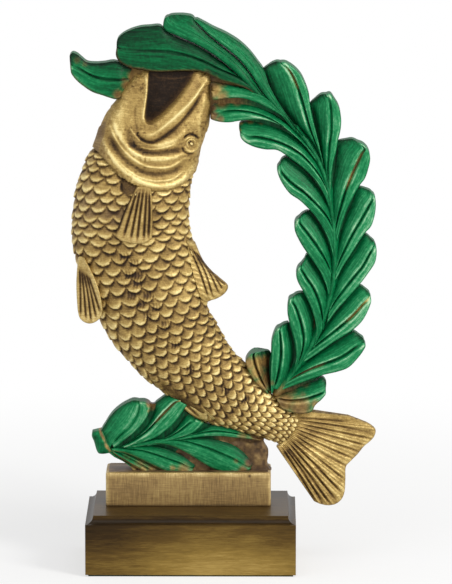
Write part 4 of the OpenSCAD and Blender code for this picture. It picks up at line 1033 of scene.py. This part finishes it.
def fish_eye(material):
    """A bulging disc with a ringed edge and a well round its pupil, on each flank."""
    shape = Shape()
    r = (np.linspace(0, 1, 26) ** 0.8)[:, None]
    turn = np.linspace(0, 2 * math.pi, 49)[:-1]
    px, py = 191.2 + 5.0 * r * np.cos(turn), 144.2 + 5.3 * r * np.sin(turn)
    p = on_plane(np.stack([px, py], -1), EYE_Y)
    base = flank(Body(240), p[..., 0], p[..., 2])
    ring = bell(r - 0.9, 0.16)
    from_x, from_y = px - 191.6, py - 144.4
    pupil = np.hypot(from_x * 0.8 + from_y * 0.62, (from_y * 0.8 - from_x * 0.62) * 1.5)
    well = bell(pupil - 3.3, 0.75) * step(0.3, -0.5, (px - 191.4) / 4)
    p[..., 1] = MID_Y - (base - 0.2 + 1.15 * (1 - r ** 2) ** 0.5 + 0.35 * ring - 0.45 * well)
    low = p[-1:].copy()
    low[..., 1] = MID_Y - base[-1:] + 3.5
    rings = np.concatenate([p[1:], low])
    # Painted: a highlight on the pupil, and shade in the well on its left, the side away from the light
    relief = (0.58 + 0.7 * bell(pupil, 1.6) - 0.34 * bell(pupil - 2.3, 0.6) - 0.6 * well + 0.32 * ring
              - 0.3 * step(0.92, 1, r))
    value = np.stack([relief, 0 * relief + 0.1, px, py], -1)
    for _ in range(2):
        shape.tube(rings, np.concatenate([value[1:], value[-1:]]))
        rings[..., 1] = 2 * MID_Y - rings[..., 1]
    return shape.make("eyes", material)


# The core that closes the wreath between its leaves, and the stem along it
CORE_OUTER = [(300, 118), (312, 106), (325, 134), (338, 142), (350, 168), (358, 187), (360, 210), (364, 233),
    (360, 258), (359, 283), (355, 305), (352, 328), (338, 352), (322, 374), (300, 386), (276, 397)]
CORE_INNER = [(240, 104), (262, 116), (288, 130), (290, 156), (304, 176), (309, 208), (310, 228), (308, 253),
    (304, 270), (304, 291), (296, 306), (290, 321), (280, 336), (272, 350), (268, 368), (268, 388)]
STEM = [(296, 128), (308, 142), (319, 160), (326, 180), (331, 205), (334, 232), (335, 255), (333, 280),
    (328, 303), (320, 325), (309, 348), (294, 370), (277, 392)]
# Webs between the crown, the first inner leaves and the head, and behind the low branch
WEB_UPPER = [(198, 66), (210, 72), (222, 79), (238, 85), (255, 93), (270, 105), (284, 119), (296, 131)]
WEB_LOWER = [(202, 108), (210, 114), (222, 117), (236, 118), (250, 120), (264, 123), (277, 131), (290, 142)]
ROOT_UPPER = [(118, 63), (127, 66), (136, 68.5), (146, 70)]
ROOT_LOWER = [(116, 92), (124, 92), (132, 88), (143, 80)]
BRANCH_UPPER = [(106, 440), (116, 424), (132, 410), (146, 401.5), (153, 403.5), (160, 400), (168, 398),
    (176, 402), (188, 412), (204, 421.5), (224, 427), (246, 431.5), (264, 438)]
BRANCH_LOWER = [(110, 449), (122, 451), (136, 454), (150, 456), (160, 456), (168, 456), (178, 455),
    (190, 452), (204, 450), (218, 448), (234, 447), (250, 446), (262, 445)]


def web(shape, upper, lower, half, bare, stem=None, thin=1.0):
    """Fills the casting between leaves: a skin between two lines, raised along its stem, thin at one end."""
    a, b = smooth_line(upper, 110), smooth_line(lower, 110)
    t = np.linspace(0, 1, 44)[None, :, None]
    screen = a[:, None] * (1 - t) + b[:, None] * t
    flat = on_plane(screen, np.full(screen.shape[:2], MID_Y))
    ridge = bell(distance(screen, smooth_line(stem, 60))[0], 3.6) if stem else 0 * flat[..., 0]
    h = half + 0.25 * noise(flat, 5.0, 51) + (6.1 - half) * ridge
    h = h * (thin + (1 - thin) * step(0, 0.25, np.linspace(0, 1, 110)))[:, None]
    shape.both(flat, h, 0.34 + 0.1 * noise(flat, 4.0, 52) + 0.26 * ridge, bare(screen))


def rock(material):
    """The rough slab under the low branch, between a foot line and a crest line."""
    low = [(134, 472), (160, 472), (190, 472), (220, 472), (250, 472.3), (271.5, 472.5)]
    high = [(137, 470), (146, 463.5), (158, 456), (170, 449), (185, 443), (205, 438.5), (225, 437),
        (240, 438), (254, 438.5), (262.5, 438.7), (264.5, 443), (268, 449), (268.3, 454), (267.3, 461),
        (268.6, 467)]
    a, b = on_plane(smooth_line(low, 170), MID_Y), on_plane(smooth_line(high, 170), MID_Y)
    a[:, 2] = PLINTH_TOP - 0.4
    u = np.linspace(0, 1, 60)
    flat, rise = between(a, b, u), u[:, None]
    long = 72.0  # mm along its foot
    run = np.linspace(0, 1, 170)[None, :] * long
    edge = np.minimum((1 - rise) * np.linalg.norm(b - a, axis=1)[None, :], np.minimum(run, long - run))
    h = (3.6 + 1.3 * (1 - rise) ** 1.5 + 1.2 * step(52, 64, run)) * (0.4 + 0.6 * rounded(edge, 3.0))
    lumps, grit = noise(flat, 3.2, 62), noise(flat, 1.5, 63)
    h = h + 0.5 * noise(flat, 7.0, 61) + 0.4 * lumps + 0.22 * grit
    shape = Shape()
    shape.both(flat, h, 0.4 + 0.24 * lumps + 0.2 * grit + 0.14 * noise(flat, 11.0, 64),
               0.7 + 0.3 * noise(flat, 5.0, 65))
    return shape.make("rough_rock", material)


def plinth(material):
    """The painted block: rings of a rounded rectangle, a little uneven, with worn edges."""
    low, high = [np.array(v) * 1000 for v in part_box("plinth")]
    mid, half = (low + high) / 2, (high - low) / 2
    tall, corner, round_top, count = 18.4, 1.6, 1.3, 46

    # Its outline, then rings up the sides, over the rounded top edge and in across the top
    path = []
    for cx, cy, start in ((1, -1, -90), (1, 1, 0), (-1, 1, 90), (-1, -1, 180)):
        for k in range(9):
            a = math.radians(start + k * 90 / 8)
            path.append((cx * (half[0] - corner) + corner * math.cos(a),
                         cy * (half[1] - corner) + corner * math.sin(a)))
    path = np.array(path + path[:1])
    length = np.concatenate([[0], np.cumsum(np.linalg.norm(np.diff(path, axis=0), axis=1))])
    places = np.linspace(0, length[-1], 421)[:-1]
    ring = np.stack([np.interp(places, length, path[:, a]) for a in (0, 1)], -1)

    def ring_at(inset, share, z):
        return np.stack([mid[0] + ring[:, 0] * (1 - inset / half[0]) * share,
                         mid[1] + ring[:, 1] * (1 - inset / half[1]) * share, np.full(len(ring), z)], -1)

    z = low[2] + (high[2] - low[2]) * np.linspace(0, 1, count)
    below = round_top - (high[2] - z)
    inset = np.where(below > 0, round_top - np.sqrt(np.maximum(round_top**2 - below**2, 0)), 0)
    rings = [ring_at(i, 1, h) for i, h in zip(inset, z)]
    rings += [ring_at(round_top, s, high[2]) for s in (0.985, 0.96, 0.9, 0.8, 0.6, 0.4, 0.2, 0.05)]
    rings = np.stack(rings)
    out = rings - mid
    out[..., 2] = 0
    out = out / np.maximum(np.abs(out / half).max(-1, keepdims=True), 1e-6)
    out = out / np.linalg.norm(out, axis=-1, keepdims=True)
    dent = 0.16 * noise(rings, 9.0, 71) + 0.07 * noise(rings, 3.0, 72)
    on_side = (np.arange(len(rings)) < count)[:, None]
    rings = rings - out * (np.maximum(dent, -0.05) * on_side + 0.1 * on_side)[..., None]
    rings[count:, :, 2] -= 0.1 + np.abs(0.25 * noise(rings[count:], 2.5, 73))

    # Paint: the edges are worn bright, and the top shows the undercoat
    height = (rings[..., 2] - low[2]) / (high[2] - low[2])
    wear = bell((1 - height) * tall - 1.0, 1.6) * on_side
    side = np.minimum(half[0] - np.abs(rings[..., 0] - mid[0]), 9)
    wear = np.maximum(wear, 0.8 * bell(side - 0.4, 1.3) * on_side)
    relief = 0.56 + 0.32 * wear * (0.75 + 0.5 * noise(rings, 5.0, 74)) + 0.07 * noise(rings, 14.0, 75)
    relief = relief - 0.35 * bell(height * tall, 0.9) * on_side
    relief = np.where(on_side, relief, 0.5 + 0.2 * noise(rings, 2.5, 73))
    speck = np.hypot(*np.moveaxis(on_screen(rings) - (249.5, 476), -1, 0))
    relief = relief - 0.6 * bell(speck, 1.3) * (rings[..., 1] < mid[1])
    bare = np.where(on_side, 0.0, 1.0) + 0 * relief
    shape = Shape()
    shape.tube(rings, np.stack([relief, bare, rings[..., 2], rings[..., 0]], -1))
    return shape.make("plinth_block", material)


def cut_end(material):
    """The stub of the branch, from its sawn end to a gilded ring where the leaves start."""
    outline = [(92.2, 431.5), (91.8, 436), (94, 441.5), (95.6, 447), (97, 451), (98.8, 453.5), (104, 453.8),
        (110.5, 452.8)]
    ring = [(101.5, 429.5), (103.2, 433), (105.4, 437.5), (107.4, 442), (109, 446), (110.4, 449),
        (111.5, 451), (112.6, 453)]
    u, v = np.linspace(0, 1, 60)[:, None], np.linspace(0, 1, 80)[None, :]
    flat = between(smooth_line(outline, 80), smooth_line(ring, 80), u[:, 0])
    edge = np.minimum(v, 1 - v) * 23 * MM_PER_PIXEL
    h = 2.2 + 3.6 * rounded(np.minimum(edge, u * 8), 3.0)
    p = on_plane(flat, MID_Y - h)
    cells = noise(p, 1.9, 81)
    h = h + 0.32 * cells + 0.3 * bell(u * 9 - 8.4, 0.9)
    gold_line = bell((1 - u) * 9 - 1.6, 1.4)
    worn = 0.9 * np.maximum(gold_line, step(0.7, 1.0, v) * step(0.25, 0.6, u))
    worn = worn * (0.8 + 0.5 * noise(p, 3.0, 82))
    shape = Shape()
    shape.both(p, h, 0.5 + 0.14 * cells + 0.2 * gold_line, worn)
    return shape.make("branch_end", material)


# Paint
def colour(*tone):
    """A screen colour of 0 to 255 in the shader's linear numbers."""
    return tuple((v / 255 / 12.92 if v <= 10 else ((v / 255 + 0.055) / 1.055) ** 2.4) for v in tone) + (1.0,)


class Nodes:
    """Builds a node tree. A socket takes a number, a colour or the output of another node."""

    def __init__(self, owner):
        owner.use_nodes = True
        self.tree = owner.node_tree
        self.tree.nodes.clear()

    def node(self, kind, sockets, **settings):
        made = self.tree.nodes.new("ShaderNode" + kind)
        for name, value in settings.items():
            setattr(made, name, value)
        for socket, value in sockets.items():
            self.put(made.inputs[socket], value)
        return made

    def put(self, socket, value):
        if isinstance(value, bpy.types.NodeSocket):
            self.tree.links.new(value, socket)
        else:
            socket.default_value = value

    def math(self, operation, *values):
        return self.node("Math", dict(enumerate(values)), operation=operation).outputs[0]

    def sum(self, *terms):
        """Adds sockets times factors: sum((socket, factor), ..., constant)."""
        total = 0.0
        for term in terms:
            if isinstance(term, tuple):
                total = self.math("MULTIPLY_ADD", *term, total)
            else:
                total = self.math("ADD", total, term)
        return total

    def range(self, value, low, high, first=0.0, last=1.0):
        """A smooth step from first to last as the value goes from low to high."""
        ends = {"From Min": low, "From Max": high, "To Min": first, "To Max": last}
        return self.node("MapRange", {"Value": value, **ends}, interpolation_type="SMOOTHSTEP").outputs[0]

    def attribute(self, name, output="Fac"):
        return self.node("Attribute", {}, attribute_name=name).outputs[output]

    def place(self):
        return self.node("TexCoord", {}).outputs["Object"]

    def stretched(self, vector, scale):
        return self.node("Mapping", {"Vector": vector, "Scale": scale}).outputs[0]

    def noise(self, vector, scale, detail=4.0, rough=0.55, distortion=0.0):
        return self.node("TexNoise", {"Vector": vector, "Scale": scale, "Detail": detail, "Roughness": rough,
                                      "Distortion": distortion}).outputs["Fac"]

    def ramp(self, value, *stops):
        made = self.node("ValToRGB", {0: value})
        held = made.color_ramp.elements
        for k, (place, tone) in enumerate(stops):
            e = held[k] if k < 2 else held.new(place)
            e.position = place
            e.color = colour(*tone)
        return made.outputs[0]

    def blend(self, amount, a, b):
        """A mix of two colours: sockets 6, 7 and output 2 are the node's colour ones."""
        return self.node("Mix", {0: amount, 6: a, 7: b}, data_type="RGBA").outputs[2]

    def seen(self):
        """1 for the rays that meet the white surround as it is shown, in view, reflected or through glass."""
        rays = self.node("LightPath", {}).outputs
        return self.sum(*((rays[f"Is {kind} Ray"], 1.0) for kind in ("Camera", "Glossy", "Transmission")))


class Paint(Nodes):
    """A material of one shader."""

    def __init__(self, name, roughness=0.5, metallic=0.0, coat=0.0, coat_roughness=0.1, specular=0.5):
        self.material = bpy.data.materials.new(name)
        super().__init__(self.material)
        self.shader = self.node("BsdfPrincipled", {
            "Roughness": roughness, "Metallic": metallic, "Specular IOR Level": specular,
            "Coat Weight": coat, "Coat Roughness": coat_roughness})
        self.end = self.node("OutputMaterial", {0: self.shader.outputs[0]})

    def bump(self, value, depth, strength):
        made = self.node("Bump", {"Distance": depth, "Strength": strength, "Height": value})
        self.put(self.shader.inputs["Normal"], made.outputs[0])

    def finish(self, tone, roughness=None):
        self.put(self.shader.inputs["Base Color"], tone)
        if roughness is not None:
            self.put(self.shader.inputs["Roughness"], roughness)
        return self.material


GOLD = ((0.0, (36, 23, 9)), (0.16, (62, 43, 18)), (0.34, (104, 79, 38)), (0.52, (144, 116, 61)),
        (0.7, (180, 151, 86)), (0.86, (216, 190, 122)), (1.0, (240, 220, 154)))
BROWN = ((0.0, (30, 18, 8)), (0.3, (76, 54, 32)), (0.55, (112, 88, 58)), (0.8, (150, 124, 84)),
         (1.0, (190, 164, 114)))
GREEN = ((0.0, (0, 28, 13)), (0.18, (0, 54, 28)), (0.36, (0, 84, 45)), (0.54, (6, 109, 62)),
         (0.7, (38, 135, 83)), (0.84, (96, 166, 120)), (1.0, (164, 206, 166)))
PLINTH_GOLD = ((0.0, (48, 34, 18)), (0.3, (100, 78, 44)), (0.52, (140, 112, 66)), (0.72, (172, 144, 88)),
               (0.88, (206, 180, 122)), (1.0, (226, 204, 150)))
STAIN = ((0.05, (26, 15, 3)), (0.25, (50, 34, 11)), (0.5, (90, 68, 28)), (0.75, (136, 110, 52)),
         (1.0, (178, 150, 84)))


def gold_paint(name):
    p = Paint(name, roughness=0.5, metallic=0.3, specular=0.4)
    place = p.place()
    coarse = p.noise(place, 55, 5)
    fine = p.noise(place, 520, 5, 0.65)
    specks = p.noise(place, 1700, 3, 0.7)
    brushed = p.noise(p.stretched(p.attribute("flow", "Vector"), (1.3, 0.16, 1.0)), 1.0, 3, 0.6, 0.3)
    level = p.sum((p.attribute("relief"), 1.0), (coarse, 0.3), (fine, 0.45), (specks, 0.5), (brushed, 0.4),
                  -0.842)
    worn = p.range(p.sum((p.attribute("bare"), 1.0), (fine, 0.4), (coarse, 0.4), -0.4), 0.2, 0.9)
    tone = p.blend(worn, p.ramp(level, *GOLD), p.ramp(level, *BROWN))
    p.bump(p.sum((fine, 0.6), (specks, 0.4)), 0.00028, 1.0)
    return p.finish(tone, p.range(level, 0.1, 0.9, 0.8, 0.4))


def green_paint(name):
    p = Paint(name, roughness=0.4, specular=0.15)
    place, flow = p.place(), p.attribute("flow", "Vector")
    streaks = p.noise(p.stretched(flow, (0.07, 0.9, 1.0)), 1.3, 4, 0.6, 0.4)
    strokes = p.noise(p.stretched(flow, (0.1, 0.45, 1.0)), 1.0, 3, 0.6, 0.6)
    coarse = p.noise(place, 60, 4)
    fine = p.noise(place, 620, 4, 0.6)
    level = p.sum((p.attribute("relief"), 0.95), (streaks, 0.62), (strokes, 0.42), (coarse, 0.25),
                  (fine, 0.4), -0.87)
    gold_level = p.sum((p.attribute("relief"), 0.8), (coarse, 0.4), (fine, 0.5), (streaks, 0.3), -0.52)
    worn = p.range(p.sum((p.attribute("bare"), 1.0), (fine, 0.35), (streaks, 0.35), -0.35), 0.15, 0.9)
    base = p.blend(p.range(coarse, 0.35, 0.7), p.ramp(gold_level, *BROWN), p.ramp(gold_level, *GOLD))
    tone = p.blend(worn, p.ramp(level, *GREEN), base)
    p.bump(p.sum((streaks, 0.5), (fine, 0.25), (coarse, 0.2)), 0.0003, 0.8)
    return p.finish(tone, p.range(level, 0.0, 1.0, 0.42, 0.5))


def rock_paint(name):
    p = Paint(name, roughness=0.62, specular=0.35)
    place = p.place()
    coarse = p.noise(place, 70, 5)
    fine = p.noise(place, 480, 5, 0.65)
    level = p.sum((p.attribute("relief"), 1.0), (coarse, 0.4), (fine, 0.5), -0.45)
    p.bump(p.sum((fine, 0.6), (coarse, 0.4)), 0.0004, 0.8)
    return p.finish(p.blend(p.attribute("bare"), p.ramp(level, *GOLD), p.ramp(level, *BROWN)))


def plinth_paint(name):
    p = Paint(name, roughness=0.5, metallic=0.2)
    place = p.place()
    warp = p.noise(p.stretched(place, (1.0, 1.0, 0.08)), 1500, 2, 0.5)
    weft = p.noise(p.stretched(place, (0.1, 0.1, 1.0)), 1300, 2, 0.5)
    coarse = p.noise(place, 45, 4)
    fine = p.noise(place, 800, 4, 0.6)
    level = p.sum((p.attribute("relief"), 1.0), (warp, 0.5), (weft, 0.36), (coarse, 0.3), (fine, 0.16), -0.67)
    tone = p.blend(p.attribute("bare"), p.ramp(level, *PLINTH_GOLD), p.ramp(level, *BROWN))
    p.bump(p.sum((warp, 0.5), (weft, 0.35), (fine, 0.2)), 0.0002, 0.8)
    return p.finish(tone)


def lacquered_wood(name):
    """Dark stain under a clear lacquer, with a painted reflection: paler low on the front, toward its middle
    and on the top.

    The front face ends 28.5 mm above the table, where the moulding starts.
    """
    p = Paint(name, roughness=0.4, coat=0.13, coat_roughness=0.08, specular=0.12)
    p.shader.inputs["Specular Tint"].default_value = (1.0, 0.78, 0.5, 1.0)
    place = p.place()
    grain = p.noise(p.stretched(place, (0.09, 1.0, 1.0)), 1500, 5, 0.7, 0.5)
    bands = p.noise(p.stretched(place, (0.12, 1.0, 1.0)), 230, 4, 0.6, 1.2)
    coarse = p.noise(place, 16, 2)
    axes = p.node("SeparateXYZ", {0: place}).outputs
    across, height = axes["X"], axes["Z"]
    # A painted reflection: the front is paler low down and toward its middle, darker toward its ends
    painted_reflection = p.sum((p.range(height, 0.028, 0.004), 0.42), (p.range(across, -0.06, 0.012), 0.34),
                   (p.range(across, 0.064, 0.02), 0.16))
    front = p.math("MULTIPLY", p.range(height, 0.0295, 0.0275), painted_reflection)
    # The top is painted paler as well, a painted sheen
    level = p.sum((front, 0.85), (grain, 0.46), (bands, 0.34), (coarse, 0.3),
                  (p.range(height, 0.0295, 0.0315), 0.27), -0.5)
    p.bump(grain, 0.00004, 0.5)
    return p.finish(p.ramp(level, *STAIN))


def felt_paint(name):
    p = Paint(name, roughness=0.95, specular=0.1)
    place = p.place()
    fuzz = p.noise(place, 1700, 4, 0.7)
    coarse = p.noise(place, 60, 3)
    p.bump(fuzz, 0.0003, 0.9)
    return p.finish(p.ramp(p.sum((fuzz, 0.7), (coarse, 0.3)), (0.3, (18, 40, 26)), (0.7, (38, 72, 46))))


def steel_paint(name):
    p = Paint(name, roughness=0.36, metallic=0.9)
    place = p.place()
    turned = p.noise(place, 900, 3, 0.6)
    stain = p.noise(place, 160, 4)
    p.bump(turned, 0.00005, 0.5)
    tone = p.ramp(stain, (0.3, (118, 116, 110)), (0.7, (178, 178, 174)))
    return p.finish(tone, p.range(stain, 0.3, 0.7, 0.28, 0.5))


gold = gold_paint("old_gold")
green = green_paint("leaf_green")


def leaves(name, table, node, *filling):
    """One node's leaves and the web that fills the casting between them, as one piece."""
    shape = Shape()
    for number, guide in enumerate(table.values()):
        shape.tube(*leaf_rings(seed=number + 10 * len(name), **guide))
    web(shape, *filling)
    piece = shape.make(name, green)
    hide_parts(node)


# Where the webs show the undercoat
def near_low_root(screen):
    return 0.1 + 0.9 * step(372, 398, screen[..., 1])


def near_head(screen):
    return 0.15 + 0.85 * step(262, 226, screen[..., 0])


def all_worn(screen):
    return np.full(screen.shape[:-1], 1.0)


def worn_upward(screen):
    return np.maximum(0.9 * step(414, 404, screen[..., 1]), 0.85 * step(205, 225, screen[..., 0]))


leaves("wreath_outer", OUTER_LEAVES, "outer_leaves", CORE_OUTER, CORE_INNER, 2.6, near_low_root, STEM)
leaves("wreath_inner", INNER_LEAVES, "inner_leaves", WEB_UPPER, WEB_LOWER, 3.2, near_head, None, 0.3)
leaves("crown", CROWN_LEAVES, "crown_leaves", ROOT_UPPER, ROOT_LOWER, 2.4, all_worn)
leaves("low_branch", SHORT_LEAVES, "short_branch", BRANCH_UPPER, BRANCH_LOWER, 3.2, worn_upward)
for made, nodes, slot in ((rock(rock_paint("rock_brown")), ("rock",), "rock_brown"),
                          (plinth(plinth_paint("plinth_gold")), ("plinth",), "plinth_gold"),
                          (cut_end(green), ("branch_cut_end",), "leaf_green"),
                          (fish_head(gold), ("gill_covers", "mouth_lips"), "antique_gold"),
                          (fish_trunk(gold), ("fish_body",), "antique_gold"),
                          (fish_eye(gold), ("fish_eyes",), "antique_gold")):
    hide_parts(*nodes)
for node, made in fins(gold).items():
    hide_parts(node)

# Board, felt, washers and screws are the CAD solids with new materials
wood, felt, steel = lacquered_wood("dark_wood"), felt_paint("green_felt"), steel_paint("zinc_steel")
for node, finish in (("base_board", wood), ("base_felt", felt),
                     ("screw_washers", steel), ("fixing_screws", steel)):
    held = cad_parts[node].data.materials
    held.clear()
    held.append(finish)

# The room: a pale floor, a white surround that lights the object less than it shows, and soft lamps
scene = bpy.context.scene
scene.view_settings.view_transform = "Standard"
mesh = bpy.data.meshes.new("floor")
reach = 4
mesh.from_pydata([(-reach, -reach, 0), (reach, -reach, 0), (reach, reach, 0), (-reach, reach, 0)], [],
                 [(0, 1, 2, 3)])
floor = bpy.data.objects.new("floor", mesh)
scene.collection.objects.link(floor)
ground = Paint("floor_white", roughness=0.9, specular=0.0)
ground.shader.inputs["Base Color"].default_value = (0.93, 0.93, 0.93, 1)
away = ground.node("VectorMath", {0: ground.place()}, operation="LENGTH").outputs["Value"]
white = ground.node("Emission", {"Strength": 1.0})
# Round the part the floor keeps its shadow, and it fades into the white surround by half a metre away
part = ground.math("MULTIPLY", ground.seen(), ground.range(away, 0.12, 0.5, 0.6, 1.0))
floor_mix = ground.node("MixShader", {0: part, 1: ground.shader.outputs[0], 2: white.outputs[0]})
ground.put(ground.end.inputs[0], floor_mix.outputs[0])
mesh.materials.append(ground.material)

scene.world = bpy.data.worlds.new("studio")
sky = Nodes(scene.world)
ambient, surround = (sky.node("Background", {"Color": (1, 1, 1, 1), "Strength": strength}).outputs[0]
                     for strength in (0.42, 1.0))
sky.node("OutputWorld", {0: sky.node("MixShader", {0: sky.seen(), 1: ambient, 2: surround}).outputs[0]})


def lamp(name, place, aim, size, power, tint=(1, 1, 1)):
    light = bpy.data.lights.new(name, "AREA")
    light.shape = "RECTANGLE"
    light.size, light.size_y = size
    light.energy = power
    light.color = tint
    held = bpy.data.objects.new(name, light)
    scene.collection.objects.link(held)
    held.location = place
    way = np.array(aim, float) - np.array(place, float)
    held.rotation_euler = Vector(way).to_track_quat("-Z", "Y").to_euler()


lamp("key", (1.1, -0.95, 0.95), (0.02, 0, 0.15), (0.45, 0.6), 17, (1.0, 0.99, 0.96))
lamp("fill", (-1.3, -1.3, 0.5), (0.02, 0, 0.15), (1.0, 1.0), 5, (0.97, 0.98, 1.0))
lamp("top", (0.1, -0.3, 1.6), (0.02, 0, 0.1), (1.2, 1.2), 6)

camera = bpy.data.cameras.new("photo")
camera.sensor_fit = "VERTICAL"
camera.sensor_height = SENSOR
camera.lens = FOCAL * SENSOR / FRAME_H
camera.clip_end = 20
viewer = bpy.data.objects.new("photo", camera)
scene.collection.objects.link(viewer)
stand = np.eye(4)
stand[:3] = np.stack([RIGHT, UP, BACK, EYE / 1000], 1)
viewer.matrix_world = Matrix(stand.tolist())
scene.camera = viewer
